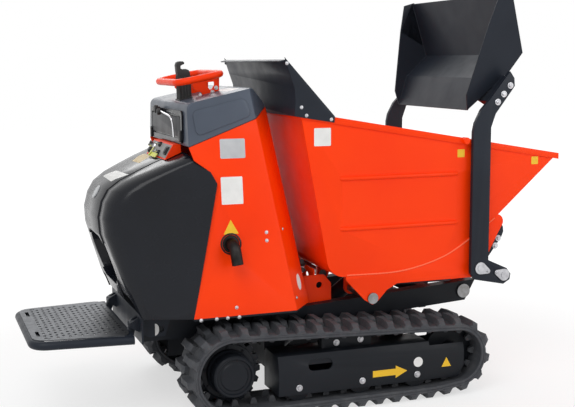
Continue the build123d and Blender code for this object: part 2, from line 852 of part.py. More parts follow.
def bucket_flared(points, inset, mode=Mode.ADD):
    # A side profile, cut to the bucket's flared width.
    with BuildPart() as flared:
        across(points, 420)
        low = 900
        high = 1340
        with BuildSketch(Plane.YZ.offset(450)) as face:
            with BuildLine():
                Polyline(
                    (-bucket_half(low) + inset, low), (-bucket_half(high) + inset, high),
                    (bucket_half(high) - inset, high), (bucket_half(low) - inset, low),
                    close=True,
                )
            make_face()
        extrude(face.sketch, amount=400, mode=Mode.INTERSECT)
    return flared.part


bucket_side = (
    (558, 934), (547, 985), (593, 1205), (619, 1304), (662, 1316), (669, 1301), (737, 1122), (697, 1061),
)
bucket_floor = (
    (558, 934), (601, 1040), (692, 1116), (655, 1312), (661, 1313), (698, 1116), (605, 1036), (564, 933),
)


def make_bucket():
    with BuildPart() as bucket:
        add(bucket_flared(bucket_side, 0))
        add(bucket_flared(bucket_side, bucket_wall), mode=Mode.SUBTRACT)
        add(bucket_flared(bucket_floor, bucket_wall))
        for side, _ in sides:
            slab(side, 240, arm_inner_y, ((606, 965), (632, 950), (684, 1012), (672, 1048)))
        add(bucket_flared(bucket_side, bucket_wall), mode=Mode.SUBTRACT)
        add(bucket_flared(bucket_floor, bucket_wall))
    return bucket.part


# Cylinders
lift_base_x = 220.0
lift_base_z = 390.0
lift_barrel_r = 20.0
lift_rod_r = 11.0
lift_barrel_length = 270.0
lift_rod_length = 190.0
tip_base_x = -40.0
tip_base_z = 125.0
tip_barrel_r = 28.0
tip_rod_r = 16.0
tip_barrel_length = 400.0
tip_rod_length = 405.0


def cylinder_plane(x, z, end_x, end_z, y, start):
    # A plane across a cylinder's line, a distance along it from its base.
    length = math.dist((x, z), (end_x, end_z))
    way = ((end_x - x) / length, 0, (end_z - z) / length)
    origin = (x + way[0] * start, y, z + way[2] * start)
    return Plane(origin=origin, x_dir=(0, 1, 0), z_dir=way)


def rod_of(plane, radius, length, mode=Mode.ADD):
    with BuildSketch(plane) as face:
        Circle(radius)
    extrude(face.sketch, amount=length, mode=mode)


def make_lift_barrels():
    mid = (lift_eye_inner_y + lift_eye_outer_y) / 2
    with BuildPart() as barrels:
        for side, _ in sides:
            line = (lift_base_x, lift_base_z, toe_pin_x, toe_pin_z, side * mid)
            rod_of(cylinder_plane(*line, 15), lift_barrel_r, lift_barrel_length - 15)
            disc(side, lift_eye_inner_y, lift_eye_outer_y, lift_base_x, lift_base_z, 18)
            rod_of(cylinder_plane(*line, 80), lift_rod_r + fit_gap, lift_barrel_length, Mode.SUBTRACT)
            disc(side, lift_eye_inner_y - 9, lift_eye_outer_y + 9, lift_base_x, lift_base_z, 10 + pin_clear,
                 Mode.SUBTRACT)
    return barrels.part


def make_lift_rods():
    mid = (lift_eye_inner_y + lift_eye_outer_y) / 2
    reach = math.dist((lift_base_x, lift_base_z), (toe_pin_x, toe_pin_z))
    with BuildPart() as rods:
        for side, _ in sides:
            line = (lift_base_x, lift_base_z, toe_pin_x, toe_pin_z, side * mid)
            rod_of(cylinder_plane(*line, reach - lift_rod_length), lift_rod_r, lift_rod_length)
            disc(side, lift_eye_inner_y, lift_eye_outer_y, toe_pin_x, toe_pin_z, 18)
    return rods.part


def make_lift_base_pins():
    with BuildPart() as pins:
        for side, _ in sides:
            disc(side, lift_eye_inner_y - 6, skip_half - skirt_wall, lift_base_x, lift_base_z, 10)
    return pins.part


def make_tip_barrel():
    line = (tip_base_x, tip_base_z, clevis_x, clevis_z, 0)
    with BuildPart() as barrel:
        rod_of(cylinder_plane(*line, 32), tip_barrel_r, tip_barrel_length - 32)
        rod_of(cylinder_plane(*line, 10), 19, 30)
        disc(left, -22, 22, tip_base_x, tip_base_z, 24)
        rod_of(cylinder_plane(*line, 42), tip_rod_r + fit_gap, tip_barrel_length, Mode.SUBTRACT)
        disc(left, -30, 30, tip_base_x, tip_base_z, 12 + pin_clear, Mode.SUBTRACT)
    return barrel.part


def make_tip_rod():
    line = (tip_base_x, tip_base_z, clevis_x, clevis_z, 0)
    reach = math.dist((tip_base_x, tip_base_z), (clevis_x, clevis_z))
    with BuildPart() as rod:
        rod_of(cylinder_plane(*line, reach - tip_rod_length), tip_rod_r, tip_rod_length)
        disc(left, -24, 24, clevis_x, clevis_z, 22)
    return rod.part


def make_tip_base():
    front = cross_x[0] + cross_tube / 2
    with BuildPart() as base:
        for side, _ in sides:
            slab(side, 24, 34, ((front, 112), (front, 165), (tip_base_x - 8, 150), (tip_base_x, 104)))
            disc(side, 24, 34, tip_base_x, tip_base_z, 24)
        disc(left, -34, 34, tip_base_x, tip_base_z, 12)
    return base.part


# Step at the rear
step_pin_x = -562.0
step_pin_z = 293.0
step_pin_y = 180.0
step_pin_r = 8.0
step_rear_x = -881.0
step_front_x = -575.0
step_front_half = 262.0
step_rear_half = 228.0
step_tube_r = 13.5
step_tube_z = 259.5
step_top_z = 276.0


def make_step_plate():
    rear = step_rear_x + 2 * step_tube_r
    with BuildPart() as plate:
        with BuildSketch(Plane.XY.offset(step_tube_z + step_tube_r)) as face:
            with BuildLine():
                Polyline(
                    (rear, -step_rear_half + 14), (step_front_x - 5, -step_front_half + 14),
                    (step_front_x - 5, step_front_half - 14), (rear, step_rear_half - 14), close=True,
                )
            make_face()
            fillet(face.vertices().group_by(Axis.X)[0], 40)
            with Locations((-844, -135), (-844, 135)):
                SlotOverall(60, 12, rotation=90, mode=Mode.SUBTRACT)
        extrude(face.sketch, amount=3)
    return plate.part


def make_step_frame():
    rear = step_rear_x + step_tube_r
    half = step_rear_half - step_tube_r + 4
    with BuildPart() as frame:
        with BuildLine() as path:
            FilletPolyline(
                (step_front_x + 4, -step_front_half + step_tube_r, step_tube_z), (rear, -half, step_tube_z),
                (rear, half, step_tube_z), (step_front_x + 4, step_front_half - step_tube_r, step_tube_z),
                radius=45,
            )
        with BuildSketch(Plane(origin=path.line @ 0, z_dir=path.line % 0)) as face:
            Circle(step_tube_r)
        sweep(face.sketch, path=path.line)
        block((step_front_x - 24, step_front_x + 4), (-step_front_half + 20, step_front_half - 20),
              (step_tube_z - 12, step_tube_z + step_tube_r))
        for side, _ in sides:
            inner = step_pin_y - 8
            outer = step_pin_y + 8
            slab(side, inner, outer, (
                (step_front_x - 4, step_tube_z - 12), (step_front_x - 4, step_tube_z + step_tube_r),
                (step_pin_x - 9, step_pin_z + 8), (step_pin_x + 11, step_pin_z), (step_pin_x - 2, step_tube_z - 12),
            ))
            disc(side, inner, outer, step_pin_x, step_pin_z, 12)
            disc(side, inner - 1, outer + 1, step_pin_x, step_pin_z, step_pin_r + pin_clear, Mode.SUBTRACT)
    return frame.part


def make_step_bracket():
    with BuildPart() as bracket:
        block((-546, beam_rear_x), (-235, 235), (240, beam_top_z + deck_thick))
        for side, _ in sides:
            slab(side, beam_outer_y, beam_outer_y + 6, (
                (beam_rear_x, beam_top_z), (-440, beam_top_z), (-463, 249), (-514, 249), (beam_rear_x, 262),
            ))
            disc(side, beam_outer_y, beam_outer_y + 6, -476, 272, 10, Mode.SUBTRACT)
            for inner, outer in ((step_pin_y - 19, step_pin_y - 9), (step_pin_y + 9, step_pin_y + 19)):
                slab(side, inner, outer, ((-546, 270), (-546, 314), (-562, 307), (-574, 299), (-574, 287), (-562, 278)))
            disc(side, step_pin_y - 21, step_pin_y + 21, step_pin_x, step_pin_z, step_pin_r)
    return bracket.part


def make_exhaust():
    with BuildPart() as exhaust:
        y_in = -170
        with BuildLine() as path:
            FilletPolyline((exhaust_x, y_in, exhaust_z), (exhaust_x, -335, exhaust_z), (-270, -345, 487), radius=26)
        with BuildSketch(Plane(origin=path.line @ 0, z_dir=path.line % 0)) as face:
            Circle(17.5)
        sweep(face.sketch, path=path.line)
    return exhaust.part


def make_console_panel():
    with BuildPart() as panel:
        for inset, depth, mode in ((0, 7, Mode.ADD), (14, 4, Mode.SUBTRACT)):
            with BuildSketch(Plane.YZ.offset(console_rear_x - 7)) as face:
                with Locations((0, 898)):
                    RectangleRounded(412 - 2 * inset, 100 - 2 * inset, 20 - inset / 2)
            extrude(face.sketch, amount=depth, mode=mode)
    return panel.part


def make_control_panel():
    with BuildPart() as panel:
        with BuildSketch(Plane.XZ.offset(-90)) as face:
            with BuildLine():
                Polyline(
                    (-446, 797), (-442, 798.3), (console_rear_x, 818.3), (console_rear_x, 844), (-419, 844), close=True,
                )
            make_face()
        extrude(face.sketch, amount=256)
        add(bonnet_shape(0, True), mode=Mode.SUBTRACT)
    return panel.part


lever_y = -60.0


def make_joystick():
    with BuildPart() as stick:
        with BuildSketch(Plane.XZ.offset(-lever_y - 15)) as face:
            with BuildLine():
                Polyline(
                    (-373, 955), (-334, 955), (-338, 1066), (-356, 1078), (-355, 1099), (-381, 1099), (-377, 1062),
                    close=True,
                )
            make_face()
        extrude(face.sketch, amount=30)
        add(make_console(), mode=Mode.SUBTRACT)
    return stick.part


ring_x = -322.0
ring_z = 1046.0
ring_half_x = 73.0
ring_half_y = 150.0
ring_tube_r = 11.0
ring_tilt = 11.0


def make_grab_ring():
    lean = math.radians(ring_tilt)
    level = Plane(origin=(ring_x, 0, ring_z), x_dir=(math.cos(lean), 0, math.sin(lean)),
                  z_dir=(-math.sin(lean), 0, math.cos(lean)))
    with BuildPart() as ring:
        with BuildSketch(level) as outline:
            RectangleRounded(2 * ring_half_x, 2 * ring_half_y, 45)
        path = outline.sketch.wires()[0]
        with BuildSketch(Plane(origin=path @ 0, z_dir=path % 0)) as face:
            Circle(ring_tube_r)
        sweep(face.sketch, path=path)
    return ring.part


def make_ring_bracket():
    with BuildPart() as bracket:
        for side, _ in sides:
            slab(side, 60, 68, (
                (-329, 1036), (-272, 1046), (-263, 1052), (-238, 1052), (-240, 1026), (-242, 985), (-277, 975), (-327, 965),
            ))
            slab(side, 59, 69, ((-299, 1016), (-265, 1019), (-278, 1004)), Mode.SUBTRACT)
        add(make_console(), mode=Mode.SUBTRACT)
        add(make_grab_ring(), mode=Mode.SUBTRACT)
    return bracket.part


save(make_rails(), "chassis_rails")
save(make_cross_members(), "cross_members")
save(make_deck(), "deck")
save(make_skip_support(), "skip_support")
for side, word in sides:
    save(make_track(side), f"track_{word}")
    save(make_sprocket(side), f"sprocket_{word}")
    save(make_final_drive(side), f"final_drive_{word}")
    save(make_idler(side), f"idler_{word}")
    save(make_rollers(side), f"rollers_{word}")
    save(make_track_frame(side), f"track_frame_{word}")
    save(make_skirt(side), f"skip_skirt_{word}")
    save(make_arm(side), f"arm_{word}")
save(make_pedestal(), "pedestal")
save(make_console(), "console")
save(make_bonnet(), "bonnet")
save(make_engine(), "engine")
save(make_skip_shell(), "skip_shell")
save(make_skip_lugs(), "skip_lugs")
save(make_rim(), "skip_rim")
save(make_deflector(), "deflector")
save(make_guard(), "skip_guard")
save(make_rest_pins(), "rest_pins")
save(make_tip_pins(), "tip_pins")
save(make_arm_pins(), "arm_pins")
save(make_bucket(), "bucket")
save(make_lift_barrels(), "lift_barrels")
save(make_lift_rods(), "lift_rods")
save(make_lift_base_pins(), "lift_base_pins")
save(make_tip_barrel(), "tip_barrel")
save(make_tip_rod(), "tip_rod")
save(make_tip_base(), "tip_base")
save(make_step_plate(), "step_plate")
save(make_step_frame(), "step_frame")
save(make_step_bracket(), "step_bracket")
save(make_exhaust(), "exhaust")
save(make_console_panel(), "console_panel")
save(make_control_panel(), "control_panel")
save(make_joystick(), "joystick")
save(make_grab_ring(), "grab_ring")
save(make_ring_bracket(), "ring_bracket")
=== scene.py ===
import json
import math
import bmesh
import bpy
from mathutils import Matrix, Vector
from mathutils.bvhtree import BVHTree

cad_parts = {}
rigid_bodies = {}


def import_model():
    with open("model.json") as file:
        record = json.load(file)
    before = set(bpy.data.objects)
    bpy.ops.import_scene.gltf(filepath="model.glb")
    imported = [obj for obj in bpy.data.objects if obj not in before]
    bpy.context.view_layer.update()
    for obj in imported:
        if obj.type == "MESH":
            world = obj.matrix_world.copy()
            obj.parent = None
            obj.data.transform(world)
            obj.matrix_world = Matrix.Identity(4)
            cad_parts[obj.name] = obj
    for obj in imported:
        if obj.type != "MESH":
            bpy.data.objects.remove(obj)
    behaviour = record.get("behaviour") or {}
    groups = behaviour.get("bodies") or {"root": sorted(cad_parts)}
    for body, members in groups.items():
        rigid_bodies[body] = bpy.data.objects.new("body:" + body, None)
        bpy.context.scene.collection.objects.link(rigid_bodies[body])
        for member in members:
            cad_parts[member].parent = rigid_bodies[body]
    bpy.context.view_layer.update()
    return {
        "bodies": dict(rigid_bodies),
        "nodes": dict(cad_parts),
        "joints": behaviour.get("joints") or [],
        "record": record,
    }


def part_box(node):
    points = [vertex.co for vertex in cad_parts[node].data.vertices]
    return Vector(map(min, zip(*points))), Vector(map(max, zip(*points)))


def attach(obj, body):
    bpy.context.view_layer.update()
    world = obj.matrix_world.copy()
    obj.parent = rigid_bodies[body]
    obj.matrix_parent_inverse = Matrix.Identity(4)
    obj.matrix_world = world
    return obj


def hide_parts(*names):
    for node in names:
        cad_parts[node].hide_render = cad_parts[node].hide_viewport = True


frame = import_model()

nodes = frame["nodes"]
scene = bpy.context.scene


# Shader helpers: an output that can be added and multiplied, and a material with short calls for its nodes

class Wire:
    def __init__(self, tree, socket):
        self.tree = tree
        self.socket = socket

    def maths(self, operation, first, second):
        node = self.tree.nodes.new("ShaderNodeMath")
        node.operation = operation
        for place, value in enumerate((first, second)):
            self.tree.links.new(value.socket, node.inputs[place])
        return Wire(self.tree, node.outputs[0])

    def __add__(self, other):
        return self.maths("ADD", self, other)

    def __mul__(self, other):
        return self.maths("MULTIPLY", self, other)


class Finish:
    def __init__(self, name):
        self.material = bpy.data.materials.new(name)
        self.material.use_nodes = True
        self.tree = self.material.node_tree
        self.shader = self.tree.nodes["Principled BSDF"]
        self.space = self.make("ShaderNodeTexCoord").outputs["Object"]

    def make(self, kind, settings=None, sockets=None):
        # One node of any kind: its settings first, then the values or links of its sockets.
        node = self.tree.nodes.new(kind)
        for key, value in (settings or {}).items():
            setattr(node, key, value)
        for key, value in (sockets or {}).items():
            self.feed(node.inputs[key], value)
        return node

    def feed(self, socket, value):
        if isinstance(value, Wire):
            value = value.socket
        if isinstance(value, bpy.types.NodeSocket):
            self.tree.links.new(value, socket)
        else:
            socket.default_value = value

    def wire(self, socket):
        return Wire(self.tree, socket)

    def noise(self, scale, detail=3, rough=0.55):
        node = self.make("ShaderNodeTexNoise", sockets={
            "Vector": self.space, "Scale": scale, "Detail": detail, "Roughness": rough,
        })
        return self.wire(node.outputs["Fac"])

    def fade(self, value, low, high, start=0.0, end=1.0):
        node = self.make("ShaderNodeMapRange", {"clamp": True}, {
            "Value": value, "From Min": low, "From Max": high, "To Min": start, "To Max": end,
        })
        return self.wire(node.outputs["Result"])

    def mix(self, share, first, second):
        node = self.make("ShaderNodeMix", {"data_type": "RGBA"})
        self.feed(node.inputs[0], share)
        self.feed(node.inputs[6], (*first, 1) if isinstance(first, tuple) else first)
        self.feed(node.inputs[7], (*second, 1) if isinstance(second, tuple) else second)
        return node.outputs[2]

    def bump(self, height, depth, strength=1.0):
        node = self.make("ShaderNodeBump", sockets={"Height": height, "Distance": depth, "Strength": strength})
        self.feed(self.shader.inputs["Normal"], node.outputs["Normal"])

    def set(self, **values):
        for key, value in values.items():
            self.feed(self.shader.inputs[key.replace("_", " ")], value)


def tone(red, green, blue):
    # A screen colour, 0 to 255, as the light it stands for.
    parts = [part / 255 for part in (red, green, blue)]
    return tuple(((part + 0.055) / 1.055) ** 2.4 if part > 0.04 else part / 12.92 for part in parts)


def paintFinish(name, colour, shade, rough, coat, peel=0.00008):
    # Sprayed paint: a slow drift in tone and fine orange peel.
    look = Finish(name)
    drift = look.fade(look.noise(3.0), 0.35, 0.7)
    fine = look.noise(700, 2)
    look.set(
        Base_Color=look.mix(drift, colour, shade),
        Roughness=look.fade(look.noise(18), 0.3, 0.75, rough - 0.05, rough + 0.08),
        Coat_Weight=coat,
        Coat_Roughness=0.12,
        Specular_IOR_Level=0.17,
    )
    look.bump(fine, peel, 0.35)
    return look.material


def rubberFinish(name, colour, dust):
    look = Finish(name)
    patches = look.fade(look.noise(22, 5), 0.45, 0.75)
    look.set(Base_Color=look.mix(patches, colour, dust), Roughness=look.fade(look.noise(60), 0.3, 0.7, 0.62, 0.85))
    look.bump(look.noise(420, 3), 0.0004, 0.5)
    return look.material


def metalFinish(name, colour, shade, rough, grain=320, depth=0.0002):
    look = Finish(name)
    patches = look.fade(look.noise(40, 4), 0.35, 0.7)
    look.set(
        Base_Color=look.mix(patches, colour, shade), Metallic=1.0,
        Roughness=look.fade(look.noise(90), 0.3, 0.7, rough, rough + 0.12),
    )
    look.bump(look.noise(grain, 2), depth, 0.3)
    return look.material


def plasticFinish(name, colour, shade, rough):
    look = Finish(name)
    patches = look.fade(look.noise(30, 4), 0.35, 0.7)
    look.set(
        Base_Color=look.mix(patches, colour, shade),
        Roughness=look.fade(look.noise(70), 0.3, 0.7, rough - 0.05, rough + 0.08),
    )
    look.bump(look.noise(900, 2), 0.0001, 0.4)
    return look.material


finishes = {
    "orange": paintFinish("orangePaint", tone(255, 63, 0), tone(250, 56, 0), 0.4, 0.02),
    "slate": paintFinish("slatePaint", tone(36, 41, 50), tone(29, 33, 41), 0.42, 0.03),
    "console": paintFinish("consolePlastic", tone(86, 94, 107), tone(72, 79, 91), 0.34, 0.1),
    "bonnetBlack": paintFinish("bonnetBlack", tone(22, 25, 32), tone(16, 18, 24), 0.24, 0.15),
    "panelGrey": paintFinish("panelGrey", tone(66, 67, 70), tone(58, 59, 62), 0.45, 0.04),
    "switchGrey": paintFinish("switchGrey", tone(150, 150, 148), tone(138, 138, 136), 0.5, 0.1),
    "blackPlastic": plasticFinish("blackPlastic", tone(26, 26, 28), tone(19, 19, 21), 0.5),
    "leverRubber": plasticFinish("leverRubber", tone(30, 30, 31), tone(40, 40, 40), 0.62),
    "rubber": rubberFinish("trackRubber", tone(58, 60, 65), tone(76, 77, 80)),
    "darkSteel": paintFinish("wheelPaint", tone(26, 29, 35), tone(20, 23, 28), 0.45, 0.03),
    "treadPlate": metalFinish("treadPlate", tone(92, 94, 98), tone(70, 72, 76), 0.42),
    "zinc": metalFinish("zincScrew", tone(205, 205, 208), tone(170, 170, 174), 0.28),
    "bareSteel": metalFinish("bareSteel", tone(150, 150, 152), tone(120, 118, 115), 0.3),
    "chrome": metalFinish("chromedRod", tone(225, 225, 228), tone(205, 205, 208), 0.08),
    "soot": metalFinish("sootySteel", tone(58, 56, 55), tone(36, 34, 33), 0.5),
    "hose": rubberFinish("hoseRubber", tone(22, 22, 23), tone(34, 34, 35)),
    "labelWhite": plasticFinish("labelWhite", tone(232, 232, 230), tone(222, 222, 220), 0.45),
    "labelSilver": plasticFinish("labelSilver", tone(190, 192, 194), tone(178, 180, 183), 0.35),
    "labelYellow": plasticFinish("labelYellow", tone(238, 190, 30), tone(228, 180, 24), 0.45),
    "tagGreen": plasticFinish("tagGreen", tone(222, 224, 96), tone(210, 212, 84), 0.4),
    # A lighter orange for the weld seams: a painted highlight along the beads, not the paint's own tone.
    "seamHighlightOrange": paintFinish("seamHighlightOrange", tone(255, 118, 82), tone(255, 106, 70), 0.35, 0.1),
    # Near black for a disc in the exhaust's end: painted shade for the hollow bore.
    "boreShadeBlack": plasticFinish("boreShadeBlack", tone(6, 6, 6), tone(3, 3, 3), 0.9),
    "labelGold": plasticFinish("labelGold", tone(196, 170, 110), tone(184, 158, 100), 0.45),
}

plainNodes = {
    "orange": ["skip_lugs", "skip_support", "ring_bracket", "control_panel"],
    "slate": ["tip_barrel", "lift_barrels", "step_bracket"],
    "darkSteel": ["chassis_rails", "cross_members", "deck", "final_drive_left", "final_drive_right", "idler_left",
                  "idler_right", "rollers_left", "rollers_right", "tip_base", "engine", "sprocket_left",
                  "sprocket_right"],
    "bareSteel": ["tip_pins", "rest_pins", "lift_base_pins"],
    "zinc": ["arm_pins"],
    "rubber": ["track_left", "track_right"],
    "panelGrey": ["step_plate"],
    "chrome": ["tip_rod", "lift_rods"],
    "soot": ["exhaust"],
    "bonnetBlack": ["console_panel"],
}

for finish, names in plainNodes.items():
    for name in names:
        mesh = nodes[name].data
        mesh.materials.clear()
        mesh.materials.append(finishes[finish])
print("finishes set on the plain nodes")


# Mesh helpers

sides = ((-1, "right"), (1, "left"))


def addPiece(name, mesh, finish, body, replaced=()):
    mesh.materials.clear()
    mesh.materials.append(finishes[finish])
    mesh.name = name
    piece = bpy.data.objects.new(name, mesh)
    scene.collection.objects.link(piece)
    if replaced:
        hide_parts(*replaced)
    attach(piece, body)
    return piece


def meshOf(work, smooth=None):
    # A mesh from a bmesh, with its faces outwards and its smooth edges up to an angle in degrees.
    bmesh.ops.remove_doubles(work, verts=work.verts, dist=0.000004)
    bmesh.ops.recalc_face_normals(work, faces=work.faces)
    mesh = bpy.data.meshes.new("piece")
    work.to_mesh(mesh)
    work.free()
    if smooth:
        mesh.shade_smooth()
        mesh.set_sharp_from_angle(angle=math.radians(smooth))
    return mesh


def bakedMesh(carrier):
    # What the carrier's modifiers make, as a plain mesh; the carrier itself goes away.
    seen = bpy.context.evaluated_depsgraph_get()
    seen.update()
    mesh = bpy.data.meshes.new_from_object(carrier.evaluated_get(seen))
    old = carrier.data
    bpy.data.objects.remove(carrier)
    bpy.data.meshes.remove(old)
    return mesh


def softened(mesh, width, segments=2, corner=32, wide=None, smooth=38):
    # Rounds a mesh's edges. Wide is a rule and a width for long shallow edges that are rounded more.
    work = bmesh.new()
    work.from_mesh(mesh)
    bmesh.ops.remove_doubles(work, verts=work.verts, dist=0.00001)
    bmesh.ops.dissolve_limit(work, angle_limit=math.radians(0.6), verts=work.verts, edges=work.edges)
    if wide:
        layer = work.edges.layers.float.new("bevel_weight_edge")
        for edge in work.edges:
            if len(edge.link_faces) == 2 and wide["rule"](edge):
                edge[layer] = 1.0
    plain = bpy.data.meshes.new("plain")
    work.to_mesh(plain)
    work.free()
    carrier = bpy.data.objects.new("carrier", plain)
    scene.collection.objects.link(carrier)
    if wide:
        broad = carrier.modifiers.new("broad", "BEVEL")
        broad.limit_method = "WEIGHT"
        broad.width = wide["width"]
        broad.segments = wide["segments"]
    fine = carrier.modifiers.new("fine", "BEVEL")
    fine.limit_method = "ANGLE"
    fine.angle_limit = math.radians(corner)
    fine.width = width
    fine.segments = segments
    result = bakedMesh(carrier)
    result.shade_smooth()
    result.set_sharp_from_angle(angle=math.radians(smooth))
    return result


def softNode(node, finish, body, slotName, width, **how):
    return addPiece(f"{node}_soft", softened(nodes[node].data, width, **how), finish, body, (node,))


def longEdge(low, high, span):
    # A rule for edges whose two faces meet at an angle between low and high degrees, and longer than span.
    def rule(edge):
        angle = math.degrees(edge.calc_face_angle(0))
        return low < angle < high and edge.calc_length() > span
    return rule


def lathe(work, profile, segments, matrix):
    # Adds a turned form to a bmesh. The profile holds radius and height, and starts and ends on the axis.
    rings = []
    for radius, height in profile:
        if radius < 1e-7:
            rings.append([work.verts.new(matrix @ Vector((0, 0, height)))])
            continue
        ring = []
        for index in range(segments):
            angle = 2 * math.pi * index / segments
            spot = Vector((radius * math.cos(angle), radius * math.sin(angle), height))
            ring.append(work.verts.new(matrix @ spot))
        rings.append(ring)
    for lower, upper in zip(rings, rings[1:]):
        for index in range(segments):
            following = (index + 1) % segments
            corners = [lower[index % len(lower)], lower[following % len(lower)],
                       upper[following % len(upper)], upper[index % len(upper)]]
            corners = list(dict.fromkeys(corners))
            if len(corners) > 2:
                work.faces.new(corners)


def prism(work, outline, lift, matrix=Matrix()):
    # Adds a closed outline of (x, y) points, extruded from one height to another.
    low, high = lift
    under = [work.verts.new(matrix @ Vector((x, y, low))) for x, y in outline]
    over = [work.verts.new(matrix @ Vector((x, y, high))) for x, y in outline]
    work.faces.new(under[::-1])
    work.faces.new(over)
    for index in range(len(outline)):
        following = (index + 1) % len(outline)
        work.faces.new((under[index], under[following], over[following], over[index]))


def pierced(work, outer, holes, lift, matrix=Matrix()):
    # Adds a plate with holes: its lower face is filled between the outlines, then drawn up.
    low, high = lift
    edges = []
    for outline in (outer, *holes):
        ring = [work.verts.new(matrix @ Vector((x, y, low))) for x, y in outline]
        edges += [work.edges.new((ring[index - 1], ring[index])) for index in range(len(ring))]
    filled = bmesh.ops.triangle_fill(work, edges=edges, use_beauty=True)
    faces = [item for item in filled["geom"] if isinstance(item, bmesh.types.BMFace)]
    grown = bmesh.ops.extrude_face_region(work, geom=faces)
    over = [item for item in grown["geom"] if isinstance(item, bmesh.types.BMVert)]
    bmesh.ops.translate(work, vec=matrix.to_3x3() @ Vector((0, 0, high - low)), verts=over)


def roundedRect(width, height, radius, steps=4):
    outline = []
    for turn, (x, y) in enumerate(((1, 1), (-1, 1), (-1, -1), (1, -1))):
        centre = (x * (width / 2 - radius), y * (height / 2 - radius))
        for step in range(steps + 1):
            angle = math.pi / 2 * (turn + step / steps)
            outline.append((centre[0] + radius * math.cos(angle), centre[1] + radius * math.sin(angle)))
    return outline


def roundedOutline(corners, radius, steps=4):
    # An outline with its corners cut by short arcs.
    outline = []
    for index, corner in enumerate(corners):
        here = Vector(corner)
        before = (Vector(corners[index - 1]) - here).normalized() * radius
        after = (Vector(corners[(index + 1) % len(corners)]) - here).normalized() * radius
        for step in range(steps + 1):
            share = step / steps
            point = here + before * (1 - share) ** 2 + after * share ** 2
            outline.append((point.x, point.y))
    return outline


def oval(centre, halfX, halfY, steps, turn=1.0):
    # An ellipse, or with a smaller turn the part of it that lies evenly about its +X end.
    count = steps if turn == 1.0 else steps + 1
    start = 0 if turn == 1.0 else -math.pi * turn
    angles = [start + 2 * math.pi * turn * index / steps for index in range(count)]
    return [(centre[0] + halfX * math.cos(angle), centre[1] + halfY * math.sin(angle)) for angle in angles]


def facing(place, normal, up=(0, 0, 1)):
    # The matrix that stands a form made on the XY plane on a place, with its Z along the normal.
    out = Vector(normal).normalized()
    across = Vector(up).cross(out).normalized()
    return Matrix.Translation(place) @ Matrix((across, out.cross(across), out)).transposed().to_4x4()


def skinned(work, rings):
    # Joins rings of equal point counts by faces, and closes both ends.
    for first, second in zip(rings, rings[1:]):
        for index in range(len(first)):
            following = (index + 1) % len(first)
            work.faces.new((first[index], first[following], second[following], second[index]))
    work.faces.new(rings[0][::-1])
    work.faces.new(rings[-1])


def loftForm(sections):
    work = bmesh.new()
    skinned(work, [[work.verts.new(point) for point in section] for section in sections])
    return meshOf(work)


def smoothPath(points, steps=6):
    # A curve through the given points.
    spots = [Vector(point) for point in points]
    ends = [spots[0] * 2 - spots[1], *spots, spots[-1] * 2 - spots[-2]]
    path = []
    for index in range(len(spots) - 1):
        before, start, end, after = ends[index:index + 4]
        for step in range(steps):
            share = step / steps
            path.append(0.5 * (
                2 * start + (end - before) * share + (2 * before - 5 * start + 4 * end - after) * share ** 2
                + (3 * start - before - 3 * end + after) * share ** 3
            ))
    return [*path, spots[-1]]


def tubeMesh(path, radius, segments=10, ripple=0.0):
    # A closed tube along a path. A ripple makes every other ring wider, as in a weld.
    path = [Vector(point) for point in path]
    work = bmesh.new()
    rings = []
    across = Vector((0.3, 0.5, 0.8))
    for index, spot in enumerate(path):
        along = (path[min(index + 1, len(path) - 1)] - path[max(index - 1, 0)]).normalized()
        across = (across - along * across.dot(along)).normalized()
        upward = along.cross(across)
        size = radius * (1 + ripple * (-1) ** index)
        angles = [2 * math.pi * step / segments for step in range(segments)]
        rings.append([
            work.verts.new(spot + (across * math.cos(angle) + upward * math.sin(angle)) * size) for angle in angles
        ])
    skinned(work, rings)
    return meshOf(work, 50)


def mirrored(mesh):
    work = bmesh.new()
    work.from_mesh(mesh)
    for vert in work.verts:
        vert.co.y = -vert.co.y
    bmesh.ops.reverse_faces(work, faces=work.faces)
    result = bpy.data.meshes.new("mirrored")
    work.to_mesh(result)
    work.free()
    return result


def draped(node, corners, lift=0.0006, steps=8):
    # A thin label between four corners, laid on a node's surface.
    skin = nodes[node].data
    faces = [list(face.vertices) for face in skin.polygons]
    tree = BVHTree.FromPolygons([vert.co for vert in skin.vertices], faces)
    first, second, third, fourth = [Vector(corner) for corner in corners]
    work = bmesh.new()
    rows = []
    for across in range(steps + 1):
        row = []
        for along in range(steps + 1):
            share, way = across / steps, along / steps
            spot = first.lerp(second, share).lerp(fourth.lerp(third, share), way)
            place, normal, _, _ = tree.find_nearest(spot)
            edge = across in (0, steps) or along in (0, steps)
            row.append(work.verts.new(place + normal * (lift * (0.2 if edge else 1.0))))
        rows.append(row)
    for row, following in zip(rows, rows[1:]):
        for along in range(steps):
            work.faces.new((row[along], following[along], following[along + 1], row[along + 1]))
    mesh = bpy.data.meshes.new("draped")
    work.normal_update()
    middle = work.faces[:][len(work.faces) // 2]
    _, normal, _, _ = tree.find_nearest(middle.calc_center_median())
    if middle.normal.dot(normal) < 0:
        bmesh.ops.reverse_faces(work, faces=work.faces)
    work.to_mesh(mesh)
    work.free()
    mesh.shade_smooth()
    return mesh


# Geometry Nodes: copies of one form on given places

